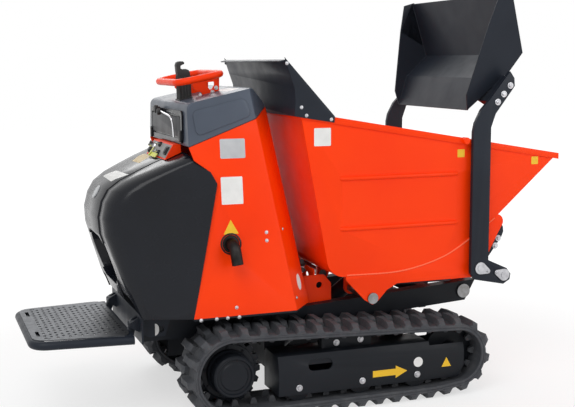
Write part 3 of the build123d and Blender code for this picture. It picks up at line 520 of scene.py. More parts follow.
def makeScatterTree():
    tree = bpy.data.node_groups.new("scatterForms", "GeometryNodeTree")
    face = tree.interface
    face.new_socket("Geometry", in_out="INPUT", socket_type="NodeSocketGeometry")
    face.new_socket("Form", in_out="INPUT", socket_type="NodeSocketObject")
    face.new_socket("Finish", in_out="INPUT", socket_type="NodeSocketMaterial")
    face.new_socket("Geometry", in_out="OUTPUT", socket_type="NodeSocketGeometry")
    new = tree.nodes.new
    given = new("NodeGroupInput")
    made = new("NodeGroupOutput")
    form = new("GeometryNodeObjectInfo")
    turn = new("GeometryNodeInputNamedAttribute")
    turn.data_type = "FLOAT_VECTOR"
    turn.inputs["Name"].default_value = "turn"
    rotation = new("FunctionNodeEulerToRotation")
    points = new("GeometryNodeMeshToPoints")
    copies = new("GeometryNodeInstanceOnPoints")
    real = new("GeometryNodeRealizeInstances")
    paint = new("GeometryNodeSetMaterial")
    for start, end in (
        (given.outputs["Geometry"], points.inputs["Mesh"]),
        (points.outputs["Points"], copies.inputs["Points"]),
        (given.outputs["Form"], form.inputs["Object"]),
        (form.outputs["Geometry"], copies.inputs["Instance"]),
        (turn.outputs["Attribute"], rotation.inputs[0]),
        (rotation.outputs[0], copies.inputs["Rotation"]),
        (copies.outputs["Instances"], real.inputs["Geometry"]),
        (real.outputs["Geometry"], paint.inputs["Geometry"]),
        (given.outputs["Finish"], paint.inputs["Material"]),
        (paint.outputs["Geometry"], made.inputs["Geometry"]),
    ):
        tree.links.new(start, end)
    return tree


scatterTree = makeScatterTree()


def scatterMesh(form, places, finish, smooth=35):
    # Copies of a mesh on the given matrices, made by the scatter tree and baked.
    spots = bpy.data.meshes.new("spots")
    spots.from_pydata([place.translation for place in places], [], [])
    turns = spots.attributes.new("turn", "FLOAT_VECTOR", "POINT")
    for index, place in enumerate(places):
        turns.data[index].vector = place.to_euler()
    carrier = bpy.data.objects.new("spots", spots)
    scene.collection.objects.link(carrier)
    formObject = bpy.data.objects.new("form", form)
    scene.collection.objects.link(formObject)
    modifier = carrier.modifiers.new("scatter", "NODES")
    modifier.node_group = scatterTree
    sockets = {item.name: item.identifier for item in scatterTree.interface.items_tree if item.in_out == "INPUT"}
    modifier[sockets["Form"]] = formObject
    modifier[sockets["Finish"]] = finishes[finish]
    result = bakedMesh(carrier)
    bpy.data.objects.remove(formObject)
    result.shade_smooth()
    result.set_sharp_from_angle(angle=math.radians(smooth))
    if "turn" in result.attributes:
        result.attributes.remove(result.attributes["turn"])
    return result


def joined(*meshes):
    # One mesh from several.
    work = bmesh.new()
    for mesh in meshes:
        work.from_mesh(mesh)
    result = bpy.data.meshes.new("joined")
    work.to_mesh(result)
    work.free()
    return result


# Body, skip and shovel: the solids with their edges rounded

sheet = {
    "thin": 0.0009, "plate": 0.0016, "arm": 0.003, "moulded": 0.018,
    "crease": 0.006, "creaseSteps": 3, "creaseAngles": (16, 66), "creaseSpan": 0.25,
    "single": (
        ("bonnet", "bonnetBlack", "chassis", "bonnet_black", "thin", {"corner": 50, "smooth": 44}),
        ("console", "console", "chassis", "slate_paint", "moulded", {"segments": 5, "corner": 34}),
        ("skip_shell", "orange", "skip", "orange_paint", "plate", {"smooth": 24}),
        ("skip_rim", "orange", "skip", "orange_paint", "plate", {}),
        ("deflector", "slate", "skip", "slate_paint", "thin", {}),
        ("skip_guard", "slate", "skip", "slate_paint", "thin", {}),
        ("bucket", "slate", "loader", "slate_paint", "plate", {"smooth": 14}),
        ("step_frame", "slate", "step", "slate_paint", "thin", {"corner": 50}),
        ("grab_ring", "orange", "chassis", "orange_paint", "thin", {"corner": 60}),
    ),
    "paired": (
        ("skip_skirt", "orange", "skip", "orange_paint", "plate", {}),
        ("arm", "slate", "loader", "slate_paint", "arm", {"segments": 3}),
        ("track_frame", "darkSteel", "chassis", "slate_paint", "plate", {}),
    ),
}


def makeSheetMetal():
    crease = {"rule": longEdge(*sheet["creaseAngles"], sheet["creaseSpan"]), "width": sheet["crease"],
              "segments": sheet["creaseSteps"]}
    softNode("pedestal", "orange", "chassis", "orange_paint", sheet["thin"], wide=crease)
    for node, finish, body, slotName, width, how in sheet["single"]:
        softNode(node, finish, body, slotName, sheet[width], **how)
    for _, word in sides:
        for node, finish, body, slotName, width, how in sheet["paired"]:
            softNode(f"{node}_{word}", finish, body, slotName, sheet[width], **how)
    print("sheet metal done")


makeSheetMetal()


# Rubber tracks: a belt swept round the loop, with staggered lugs outside and guide horns inside

track = {
    "midY": 0.285, "half": 0.09, "thick": 0.018, "links": 37, "steps": 148, "ground": 0.022,
    "rear": (-0.292, 0.147), "rearRadius": 0.125, "front": (0.476, 0.136), "frontRadius": 0.104, "liftX": 0.39,
    "beltEdge": ((0.003, 0), (0, 0.003), (0, 0.0068), (0.002, 0.008), (0.002, 0.0105), (0, 0.0117), (0, 0.0155),
                 (0.0025, 0.018)),  # inset and depth
    "lugSunk": 0.002, "lugWaist": 0.3, "lugMiddle": 0.5,
    "lugCuts": ((0.0, 0.0185, 0.0095, 0.0085), (0.014, 0.0175, 0.0115, 0.0205), (0.05, 0.014, 0.0085, 0.0215),
                (0.09, 0.0175, 0.0115, 0.0215), (0.105, 0.0175, 0.0095, 0.014)),  # y, foot, tip and height
    "hornApart": 0.03,
    "hornCuts": ((-0.002, 0.012, 0.008), (0.01295, 0.0085, 0.0065), (0.0185, 0.0055, 0.0045)),
}


def loopPlaces(count, phase=0.0):
    # Even places on the belt's outer face: x, z and the angle of the outward normal.
    (rearX, rearZ), (frontX, frontZ) = track["rear"], track["front"]
    big, small = track["rearRadius"], track["frontRadius"]
    liftX, ground = track["liftX"], track["ground"]
    tilt = math.atan2(frontZ - rearZ, frontX - rearX)
    top = math.pi / 2 + tilt - math.asin((big - small) / math.dist(track["rear"], track["front"]))
    low = math.atan2(frontZ - ground, frontX - liftX)
    low -= math.asin(small / math.dist(track["front"], (liftX, ground))) + math.pi / 2
    rearLow = (rearX, rearZ - big)
    lifted = (liftX, ground)
    frontLow = (frontX + small * math.cos(low), frontZ + small * math.sin(low))
    frontTop = (frontX + small * math.cos(top), frontZ + small * math.sin(top))
    rearTop = (rearX + big * math.cos(top), rearZ + big * math.sin(top))
    runs = (
        (math.dist(rearLow, lifted), rearLow, lifted, None),
        (math.dist(lifted, frontLow), lifted, frontLow, None),
        (small * (top - low), track["front"], small, low),
        (math.dist(frontTop, rearTop), frontTop, rearTop, None),
        (big * (1.5 * math.pi - top), track["rear"], big, top),
    )
    total = sum(run[0] for run in runs)
    places = []
    for index in range(count):
        along = (index + phase) * total / count
        for length, start, end, turn in runs:
            if along <= length:
                break
            along -= length
        if turn is None:
            share = along / length
            x = start[0] + (end[0] - start[0]) * share
            z = start[1] + (end[1] - start[1]) * share
            places.append((x, z, math.atan2(end[1] - start[1], end[0] - start[0]) - math.pi / 2))
        else:
            angle = turn + along / end
            places.append((start[0] + end * math.cos(angle), start[1] + end * math.sin(angle), angle))
    return places


def onBelt(place, y, flip=False):
    # The matrix of a form on the belt: its Z is the belt's outward normal, and its Y runs across the machine.
    x, z, angle = place
    way = -1 if flip else 1
    out = Vector((math.cos(angle), 0, math.sin(angle)))
    along = Vector((math.sin(angle), 0, -math.cos(angle))) * way
    frame = Matrix((along, Vector((0, way, 0)), out)).transposed().to_4x4()
    return Matrix.Translation((x, y, z)) @ frame


def lugForm():
    # Y runs inwards from the belt's edge. The end slopes, and the lug has a waist.
    sunk = -track["lugSunk"]
    sections = []
    for y, base, tip, high in track["lugCuts"]:
        mid = tip + (base - tip) * track["lugWaist"]
        halfway = high * track["lugMiddle"]
        sections.append([(-base, y, sunk), (-mid, y, halfway), (-tip, y, high), (tip, y, high), (mid, y, halfway),
                         (base, y, sunk)])
    return loftForm(sections)


def hornForm():
    sections = []
    for z, halfX, halfY in track["hornCuts"]:
        sections.append([(-halfX, -halfY, z), (halfX, -halfY, z), (halfX, halfY, z), (-halfX, halfY, z)])
    return loftForm(sections)


def beltMesh(side):
    edge = [(track["half"] - inset, depth) for inset, depth in track["beltEdge"]]
    section = [*edge, *[(-across, depth) for across, depth in reversed(edge)]]
    work = bmesh.new()
    rings = []
    for x, z, angle in loopPlaces(track["steps"]):
        middle = side * track["midY"]
        rings.append([
            work.verts.new((x - depth * math.cos(angle), middle + across, z - depth * math.sin(angle)))
            for across, depth in section
        ])
    for first, second in zip(rings, [*rings[1:], rings[0]]):
        for index in range(len(section)):
            following = (index + 1) % len(section)
            work.faces.new((first[index], second[index], second[following], first[following]))
    return meshOf(work, 30)


def makeTracks():
    for side, word in sides:
        outer = side * (track["midY"] + track["half"])
        inner = side * (track["midY"] - track["half"])
        places = [onBelt(place, outer, flip=side > 0) for place in loopPlaces(track["links"], 0.0)]
        places += [onBelt(place, inner, flip=side < 0) for place in loopPlaces(track["links"], 0.5)]
        lugs = scatterMesh(lugForm(), places, "rubber", smooth=25)
        horns = []
        for offset in (-track["hornApart"], track["hornApart"]):
            for x, z, angle in loopPlaces(track["links"], 0.25):
                innerX, innerZ = x - track["thick"] * math.cos(angle), z - track["thick"] * math.sin(angle)
                horns.append(onBelt((innerX, innerZ, angle + math.pi), side * track["midY"] + offset))
        guides = scatterMesh(hornForm(), horns, "rubber", smooth=25)
        mesh = joined(beltMesh(side), lugs, guides)
        addPiece(f"rubber_track_{word}", mesh, "rubber", "chassis", (f"track_{word}",))
    print("tracks done")


makeTracks()


# Sprockets, hub covers and bolts

wheel = {
    "teeth": 17, "root": 0.0935, "tip": 0.1055, "rootShare": 0.34, "tipShare": 0.2, "inner": 0.271, "outer": 0.299,
    "edge": 0.001, "bolts": 9, "boltCircle": 0.077, "boltTurn": 0.3, "boltSize": (0.0042, 0.004), "boltY": 0.305,
    "disc": [(0, 0.298), (0.088, 0.298), (0.088, 0.303), (0.085, 0.305), (0, 0.305)],
    "hub": [(0, 0.19), (0.06, 0.19), (0.06, 0.262), (0.045, 0.268), (0.045, 0.3), (0.071, 0.3), (0.071, 0.318),
            (0.065, 0.324), (0.065, 0.369), (0.061, 0.374), (0.056, 0.374), (0.053, 0.368), (0.045, 0.368),
            (0.041, 0.371), (0, 0.3725)],
    "discSteps": 48, "hubSteps": 56,
}

bolt = {  # shares of the radius, and for the head and the screw's end of the height
    "washer": 1.5, "washerTop": 1.4, "washerEdge": 0.16, "washerHigh": 0.26, "headFoot": 0.2, "bevelFoot": 0.82,
    "bevelTop": 0.84, "screwFoot": 0.9, "screw": 0.5, "screwEdge": 1.12, "screwTop": 0.4, "screwHigh": 1.2,
    "sunk": 0.0004, "washerSides": 20, "headSides": 6, "screwSides": 12,
}

dome = {"rim": 1.25, "rimHigh": 0.15, "foot": 0.2, "sunk": 0.0003, "steps": 4, "sides": 16}


def boltForm(radius, high):
    # A hexagon head on its washer, with the end of the screw above it.
    work = bmesh.new()
    wide, narrow = radius * bolt["washer"], radius * bolt["washerTop"]
    edge, flat = radius * bolt["washerEdge"], radius * bolt["washerHigh"]
    lathe(work, [(0, -bolt["sunk"]), (wide, -bolt["sunk"]), (wide, edge), (narrow, flat), (0, flat)],
          bolt["washerSides"], Matrix())
    foot, bevel = radius * bolt["headFoot"], high * bolt["bevelFoot"]
    lathe(work, [(0, foot), (radius, foot), (radius, bevel), (radius * bolt["bevelTop"], high), (0, high)],
          bolt["headSides"], Matrix())
    foot, edge, top = (high * bolt[key] for key in ("screwFoot", "screwEdge", "screwHigh"))
    wide, narrow = radius * bolt["screw"], radius * bolt["screwTop"]
    lathe(work, [(0, foot), (wide, foot), (wide, edge), (narrow, top), (0, top)], bolt["screwSides"], Matrix())
    return meshOf(work)


def domeForm(radius, high):
    work = bmesh.new()
    rim = radius * dome["rim"]
    profile = [(0, -dome["sunk"]), (rim, -dome["sunk"]), (rim, high * dome["rimHigh"])]
    for step in range(dome["steps"]):
        angle = math.pi / 2 * step / dome["steps"]
        rise = dome["foot"] + (1 - dome["foot"]) * math.sin(angle)
        profile.append((radius * math.cos(angle), high * rise))
    lathe(work, [*profile, (0, high)], dome["sides"], Matrix())
    return meshOf(work)


def toothedOutline():
    outline = []
    corners = ((-wheel["rootShare"], "root"), (-wheel["tipShare"], "tip"), (wheel["tipShare"], "tip"),
               (wheel["rootShare"], "root"))
    for index in range(wheel["teeth"]):
        for share, radius in corners:
            angle = 2 * math.pi * (index + share) / wheel["teeth"]
            outline.append((wheel[radius] * math.cos(angle), wheel[radius] * math.sin(angle)))
    return outline


def makeWheels():
    centre = Vector((track["rear"][0], 0, track["rear"][1]))
    for side, word in sides:
        seat = facing(centre, (0, side, 0))
        work = bmesh.new()
        prism(work, toothedOutline(), (wheel["inner"], wheel["outer"]), seat)
        lathe(work, wheel["disc"], wheel["discSteps"], seat)
        addPiece(f"toothed_wheel_{word}", softened(meshOf(work), wheel["edge"]), "darkSteel", "chassis",
                 (f"sprocket_{word}",))
        work = bmesh.new()
        lathe(work, wheel["hub"], wheel["hubSteps"], seat)
        addPiece(f"hub_cover_{word}", meshOf(work, 30), "darkSteel", "chassis",
                 (f"final_drive_{word}",))
        spots = []
        for index in range(wheel["bolts"]):
            angle = 2 * math.pi * (index + wheel["boltTurn"]) / wheel["bolts"]
            spot = centre + Vector((math.cos(angle), 0, math.sin(angle))) * wheel["boltCircle"]
            spot.y = side * wheel["boltY"]
            spots.append(facing(spot, (0, side, 0)))
        addPiece(f"wheel_bolts_{word}", scatterMesh(boltForm(*wheel["boltSize"]), spots, "darkSteel"), "darkSteel",
                 "chassis")
    print("wheels done")


makeWheels()


# Screws and bolts, by body. Places are on the right-hand side, and each has its mirror image on the left

outward = {"side": (0, -1, 0), "wall": (0, -0.9925, 0.122), "corner": (0.76, -0.61, 0.21)}

screws = {
    "hex": (0.0072, 0.007), "smallHex": (0.0048, 0.0045), "dome": (0.0045, 0.0028), "flat": (0.005, 0.0015),
    "sets": (
        ("roller_bolts", "chassis", "hex", [
            ("side", (-0.076, -0.355, 0.084)), ("side", (0.1395, -0.355, 0.084)), ("side", (0.335, -0.355, 0.084)),
            ("side", (0.0707, -0.3025, 0.2028)), ("side", (0.155, -0.3025, 0.2062)),
        ]),
        ("body_screws", "chassis", "dome", [
            ("wall", (-0.2682, -0.3224, 0.3512)), ("wall", (-0.1611, -0.2953, 0.5737)),
            ("wall", (-0.1613, -0.2984, 0.5485)), ("corner", (-0.0653, -0.3047, 0.362)),
            ("corner", (-0.1, -0.2737, 0.5778)), ("side", (-0.382, -0.3255, 0.3215)),
            ("side", (-0.333, -0.3255, 0.3215)), ("side", (-0.298, -0.3255, 0.3215)),
            ("side", (-0.261, -0.3255, 0.3215)),
        ]),
        ("arm_bolts", "loader", "hex", [
            ("side", (0.6734, -0.333, 1.0158)), ("side", (0.6496, -0.333, 0.9885)),
            ("side", (0.6278, -0.333, 0.9628)),
        ]),
        ("keeper_bolts", "loader", "smallHex", [
            ("side", (0.6018, -0.338, 0.4038)), ("side", (0.6356, -0.338, 0.3968)),
        ]),
        ("guard_bolts", "skip", "hex", [("side", (0.6601, -0.3, 0.5057)), ("side", (0.6492, -0.3, 0.4808))]),
        ("shield_screws", "skip", "dome", [
            ("side", (-0.0995, -0.317, 1.0915)), ("side", (-0.0527, -0.317, 0.9572)),
            ("side", (-0.0361, -0.317, 0.9319)), ("side", (0.0462, -0.317, 0.9184)),
        ]),
    ),
    "treadX": (-0.62, -0.82), "treadY": (-0.2, 0.2),
}


def makeScrews():
    for name, rider, kind, spots in screws["sets"]:
        form = domeForm(*screws[kind]) if kind == "dome" else boltForm(*screws[kind])
        places = []
        for face, (x, y, z) in spots:
            nx, ny, nz = outward[face]
            places += [facing((x, y, z), (nx, ny, nz)), facing((x, -y, z), (nx, -ny, nz))]
        addPiece(name, scatterMesh(form, places, "zinc"), "zinc", rider)
    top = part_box("step_plate")[1][2]
    places = [Matrix.Translation((x, y, top)) for x in screws["treadX"] for y in screws["treadY"]]
    addPiece("tread_screws", scatterMesh(domeForm(*screws["flat"]), places, "treadPlate"), "treadPlate", "step")
    print("screws done")


makeScrews()


# Blank labels and signs

labels = {
    "lift": (-0.0003, 0.0004),
    "plate": roundedRect(0.08, 0.06, 0.004),
    "tall": roundedRect(0.069, 0.084, 0.003),
    "square": roundedRect(0.056, 0.056, 0.003),
    "small": roundedRect(0.026, 0.026, 0.002),
    "oval": oval((0, 0), 0.017, 0.026, 28),
    "disc": oval((0, 0), 0.0165, 0.0165, 28),
    "halfDisc": oval((0, 0), 0.013, 0.019, 14, 0.5),
    "sign": [(-0.024, -0.02), (0.024, -0.02), (0.0, 0.0235)],
    "smallSign": [(-0.01728, -0.0144), (0.01728, -0.0144), (0.0, 0.01692)],
    "arrow": [(-0.061, -0.0105), (0.02, -0.0105), (0.02, -0.0205), (0.061, 0.0), (0.02, 0.0205), (0.02, 0.0105),
              (-0.061, 0.0105)],
    "sets": (
        ("side_plate", "chassis", "labelSilver", [("plate", "wall", (-0.258, -0.2635, 0.8337))]),
        ("side_labels", "chassis", "labelWhite", [
            ("tall", "wall", (-0.2658, -0.2792, 0.7066)), ("oval", "corner", (-0.042, -0.2617, 0.4022)),
            ("disc", "side", (0.338, -0.355, 0.125)), ("halfDisc", "side", (-0.4954, -0.196, 0.272)),
        ]),
        ("frame_signs", "chassis", "labelYellow", [
            ("sign", "wall", (-0.2749, -0.2926, 0.595)), ("arrow", "side", (0.237, -0.355, 0.101)),
            ("smallSign", "side", (0.441, -0.355, 0.114)),
        ]),
        ("skip_label", "skip", "labelWhite", [("square", "side", (0.0203, -0.308, 0.8639))]),
        ("skip_signs", "skip", "labelYellow", [
            ("small", "side", (0.5085, -0.3082, 0.797)), ("small", "side", (0.79, -0.3082, 0.764)),
        ]),
    ),
}


def makeLabels():
    for name, rider, finish, forms in labels["sets"]:
        meshes = []
        for shape, face, place in forms:
            work = bmesh.new()
            prism(work, labels[shape], labels["lift"], facing(place, outward[face]))
            meshes.append(meshOf(work))
        addPiece(name, joined(*meshes), finish, rider)
    print("labels done")


makeLabels()


# Step: perforated tread plate with stiffeners under it

tread = {
    "rear": -0.8675, "front": -0.58, "rearHalf": 0.214, "frontHalf": 0.248, "corner": 0.045, "cornerSteps": 6,
    "low": 0.273, "high": 0.276, "pitchX": 0.036, "pitchY": 0.03, "holeX": 0.0047, "holeY": 0.0072, "holeSteps": 10,
    "firstX": -0.828, "columns": 7, "firstY": -0.195, "rows": 27, "slotX": -0.846, "slotY": 0.135,
    "slotHalf": (0.0055, 0.03), "bar": (0.026, 0.39, 0.004), "barLift": (0.2655, 0.2685),
    "rail": (0.22, 0.006, 0.002), "railLift": (0.262, 0.2728), "railX": -0.715,
    "railY": (-0.13, -0.045, 0.045, 0.13),
}


def makeTread():
    rear, front = tread["rear"], tread["front"]
    narrow, wide = tread["rearHalf"], tread["frontHalf"]
    outer = roundedOutline([(rear, -narrow), (front, -wide), (front, wide), (rear, narrow)], tread["corner"],
                           tread["cornerSteps"])
    holes = []
    for row in range(tread["rows"]):
        for column in range(tread["columns"]):
            x = tread["firstX"] + (column + 0.5 * (row % 2)) * tread["pitchX"]
            y = tread["firstY"] + row * tread["pitchY"] / 2
            holes.append(oval((x, y), tread["holeX"], tread["holeY"], tread["holeSteps"]))
    halfX, halfY = tread["slotHalf"]
    for side, _ in sides:
        middle = side * tread["slotY"]
        corners = ((-1, -1), (1, -1), (1, 1), (-1, 1))
        holes.append([(tread["slotX"] + signX * halfX, middle + signY * halfY) for signX, signY in corners])
    work = bmesh.new()
    pierced(work, outer, holes, (tread["low"], tread["high"]))
    addPiece("tread_plate", meshOf(work), "treadPlate", "step", ("step_plate",))
    work = bmesh.new()
    prism(work, roundedRect(*tread["bar"]), tread["barLift"], Matrix.Translation((tread["slotX"], 0, 0)))
    for y in tread["railY"]:
        prism(work, roundedRect(*tread["rail"]), tread["railLift"], Matrix.Translation((tread["railX"], y, 0)))
    addPiece("tread_stiffeners", meshOf(work), "darkSteel", "step")
    print("tread done")


makeTread()


# Drive lever: a ribbed rubber boot under a hooked head

lever = {
    "y": -0.06, "half": 0.0145, "edge": 0.0035, "ribs": 4, "ribHigh": 0.0013, "grooveDeep": 0.00052,
    "foot": (0.965, -0.3735, -0.3335), "neck": (1.054, -0.3765, -0.3365),  # height, rear and front
    "head": [(-0.3765, 1.050), (-0.337, 1.050), (-0.3365, 1.062), (-0.341, 1.071), (-0.351, 1.0745),
             (-0.362, 1.073), (-0.3672, 1.0765), (-0.3672, 1.084), (-0.3615, 1.0875), (-0.3555, 1.0895),
             (-0.3545, 1.0945), (-0.360, 1.0983), (-0.370, 1.0985), (-0.378, 1.0945), (-0.381, 1.086),
             (-0.379, 1.066)],
    "surround": (0.058, 0.046, 0.006), "surroundLift": (-0.002, 0.0025), "surroundAt": (-0.3545, -0.06, 0.9812),
    "surroundUp": (-0.2, 0, 0.98), "surroundEdge": 0.001,
}


def ribbedOutline(z, rear, front):
    # A rectangle round the lever with ribs and shallow grooves on its four sides.
    half = lever["half"]
    corners = [Vector(corner) for corner in ((rear, -half), (front, -half), (front, half), (rear, half))]
    outline = []
    for start, end in zip(corners, [*corners[1:], corners[0]]):
        out = Vector(((end - start).y, -(end - start).x)).normalized()
        count = 4 * lever["ribs"]
        for index in range(1, count):
            raised = lever["ribHigh"] if index % 4 in (1, 2) else -lever["grooveDeep"]
            spot = start + (end - start) * (index / count) + out * raised
            outline.append((spot.x, lever["y"] + spot.y, z))
    return outline


def makeLever():
    upright = Matrix.Rotation(math.pi / 2, 4, "X")
    work = bmesh.new()
    prism(work, lever["head"], (-lever["half"], lever["half"]), Matrix.Translation((0, lever["y"], 0)) @ upright)
    head = softened(meshOf(work), lever["edge"], segments=3, corner=60, smooth=50)
    boot = loftForm([ribbedOutline(*lever["foot"]), ribbedOutline(*lever["neck"])])
    addPiece("drive_lever", joined(head, boot), "leverRubber", "chassis", ("joystick",))
    work = bmesh.new()
    prism(work, roundedRect(*lever["surround"]), lever["surroundLift"],
          facing(lever["surroundAt"], lever["surroundUp"]))
    addPiece("lever_surround", softened(meshOf(work), lever["surroundEdge"]), "blackPlastic", "chassis")


# Bracket plates that carry the grab ring

bracket = {
    "inner": 0.060, "outer": 0.068,
    "near": [(-0.329, 1.038), (-0.3, 1.044), (-0.262, 1.052), (-0.245, 1.0525), (-0.2395, 1.046), (-0.2405, 1.004),
             (-0.244, 0.985), (-0.29, 0.975), (-0.297, 0.996), (-0.305, 1.004), (-0.32, 1.007), (-0.3285, 1.016)],
    "far": [(-0.352, 1.022), (-0.345, 1.03), (-0.3, 1.044), (-0.262, 1.052), (-0.245, 1.0525), (-0.2395, 1.046),
            (-0.2405, 1.004), (-0.244, 0.985), (-0.29, 0.975), (-0.297, 0.996), (-0.31, 1.002), (-0.346, 1.006),
            (-0.353, 1.013)],
    "window": [(-0.288, 1.031), (-0.256, 1.034), (-0.2555, 1.022), (-0.264, 1.010), (-0.272, 1.008)],
    "windowCorner": 0.003, "bolts": ((-0.2505, 1.014), (-0.2625, 1.0008)), "boltSize": (0.0045, 0.004),
}


def makeBracket():
    upright = Matrix.Rotation(math.pi / 2, 4, "X")
    window = roundedOutline(bracket["window"], bracket["windowCorner"], 3)
    meshes = []
    for side, outline in ((-1, "near"), (1, "far")):
        work = bmesh.new()
        low, high = sorted((-side * bracket["inner"], -side * bracket["outer"]))
        pierced(work, bracket[outline], [window], (low, high), upright)
        meshes.append(meshOf(work, 30))
    addPiece("ring_plates", joined(*meshes), "orange", "chassis", ("ring_bracket",))
    spots = []
    for x, z in bracket["bolts"]:
        spots += [facing((x, side * bracket["outer"], z), (0, side, 0)) for side, _ in sides]
    addPiece("ring_bolts", scatterMesh(boltForm(*bracket["boltSize"]), spots, "zinc"), "zinc", "chassis")


# Console: raised side panels, and the sheet, knobs, latches and rod on its rear face

console = {
    "panel": [(-0.381, 0.9475), (-0.2105, 0.9876), (-0.192, 0.932), (-0.369, 0.8725)],
    "panelMiddle": (-0.285, 0.93),
    "lean": 0.122, "upShare": 0.9925, "wallY": 0.2591, "wallZ": 0.8703, "panelLift": (-0.001, 0.0035),
    "panelCorner": 0.02, "panelEdge": 0.003,
    "sheet": (0.374, 0.062, 0.012), "sheetAt": (-0.4006, 0, 0.898), "sheetLift": (-0.0012, 0.0012),
    "sheetEdge": 0.0006, "faceX": -0.402,
    "knobs": (((0.073, 0.944), 0.0135), ((0.035, 0.936), 0.01)), "knobSteps": 18, "knobEdge": 0.0008,
    "knobProfile": ((0, 0), (0.6, 0), (0.6, 0.006), (1, 0.009), (1, 0.017), (0.8, 0.02), (0, 0.0205)),
    "latches": ((0.196, 0.862), (-0.193, 0.87)), "latch": (0.016, 0.036, 0.005), "latchLift": (-0.002, 0.005),
    "rod": [(-0.413, 0.02, 0.938), (-0.415, -0.09, 0.931), (-0.414, -0.118, 0.924), (-0.41, -0.125, 0.905),
            (-0.407, -0.126, 0.864)],
    "rodRadius": 0.0028,
}


def makeConsole():
    middleX, middleZ = console["panelMiddle"]
    middleY = console["wallY"] - console["lean"] * (middleZ - console["wallZ"])
    outline = [(x - middleX, (z - middleZ) / console["upShare"]) for x, z in console["panel"]]
    work = bmesh.new()
    prism(work, roundedOutline(outline, console["panelCorner"]), console["panelLift"],
          facing((middleX, -middleY, middleZ), outward["wall"]))
    plate = softened(meshOf(work), console["panelEdge"], segments=3, corner=50, smooth=50)
    addPiece("console_side_panels", joined(plate, mirrored(plate)), "console", "chassis")
    work = bmesh.new()
    turned = Matrix.Rotation(-math.pi / 2, 4, "Y") @ Matrix.Rotation(-math.pi / 2, 4, "Z")
    prism(work, roundedRect(*console["sheet"]), console["sheetLift"],
          Matrix.Translation(console["sheetAt"]) @ turned)
    addPiece("console_sheet", softened(meshOf(work), console["sheetEdge"]), "panelGrey", "chassis")
    rearward = (-1, 0, 0)
    work = bmesh.new()
    for place, radius in console["knobs"]:
        profile = [(radius * share, height) for share, height in console["knobProfile"]]
        lathe(work, profile, console["knobSteps"], facing((console["faceX"], *place), rearward))
    for place in console["latches"]:
        prism(work, roundedRect(*console["latch"]), console["latchLift"],
              facing((console["faceX"], *place), rearward))
    addPiece("console_knobs", softened(meshOf(work), console["knobEdge"], corner=60), "blackPlastic", "chassis")
    addPiece("console_rod", tubeMesh(smoothPath(console["rod"]), console["rodRadius"]), "chrome", "chassis")


# Control panel: its switch plate, switches, key and tags. Places are y and the share of the slope's height

wedge = {
    "low": (-0.446, 0.797), "high": (-0.419, 0.844), "normal": (-0.867, 0, 0.498),
    "plateAt": (-0.038, 0.5), "plate": (0.244, 0.045, 0.004), "plateLift": (-0.001, 0.0012),
    "rockerAt": (-0.138, 0.52),
    "rocker": (((0.026, 0.028, 0.003), (0, 0.006)), ((0.018, 0.02, 0.002), (0.005, 0.009))),
    "buttons": ((-0.03, 0.78, 0.009), (-0.058, 0.3, 0.008), (0.062, 0.3, 0.011)), "buttonSteps": 18,
    "buttonProfile": ((0, 0), (1, 0), (1, 0.004), (0.7, 0.009), (0, 0.0095)), "edge": 0.0006,
    "keyAt": (0.03, 0.6), "keyRing": [(0, 0), (0.011, 0), (0.011, 0.004), (0.009, 0.007), (0, 0.0072)],
    "keyBlade": (0.003, 0.018, 0.001), "keyLift": (0.006, 0.024), "keySteps": 24,
    "toggles": ((-0.03, 0.78), (-0.058, 0.3)), "toggleSteps": 12,
    "toggle": [(0, 0.0085), (0.0042, 0.0085), (0.0036, 0.016), (0, 0.0165)],
    "tags": (
        ((0.1, 0.015, 0.003), (0.0, 0.0012), (-0.4525, -0.028, 0.8035), (-0.75, 0, 0.66)),
        ((0.018, 0.03, 0.003), (0.0012, 0.0024), (-0.4485, 0.006, 0.8105), (-0.8, 0.1, 0.6)),
    ),
}


def onWedge(y, share):
    (lowX, lowZ), (highX, highZ) = wedge["low"], wedge["high"]
    return facing((lowX + (highX - lowX) * share, y, lowZ + (highZ - lowZ) * share), wedge["normal"])


def makeSwitches():
    work = bmesh.new()
    prism(work, roundedRect(*wedge["plate"]), wedge["plateLift"], onWedge(*wedge["plateAt"]))
    addPiece("switch_plate", meshOf(work), "switchGrey", "chassis")
    work = bmesh.new()
    for size, lift in wedge["rocker"]:
        prism(work, roundedRect(*size), lift, onWedge(*wedge["rockerAt"]))
    for y, share, radius in wedge["buttons"]:
        profile = [(radius * width, height) for width, height in wedge["buttonProfile"]]
        lathe(work, profile, wedge["buttonSteps"], onWedge(y, share))
    addPiece("switches", softened(meshOf(work), wedge["edge"], corner=60), "blackPlastic", "chassis")
    work = bmesh.new()
    lathe(work, wedge["keyRing"], wedge["keySteps"], onWedge(*wedge["keyAt"]))
    prism(work, roundedRect(*wedge["keyBlade"]), wedge["keyLift"], onWedge(*wedge["keyAt"]))
    for place in wedge["toggles"]:
        lathe(work, wedge["toggle"], wedge["toggleSteps"], onWedge(*place))
    addPiece("key_and_toggles", meshOf(work, 40), "chrome", "chassis")
    work = bmesh.new()
    for size, lift, place, normal in wedge["tags"]:
        prism(work, roundedRect(*size), lift, facing(place, normal))
    addPiece("key_tags", meshOf(work), "tagGreen", "chassis")


# Labels that follow the bonnet and the console, and the blank disc on the nose

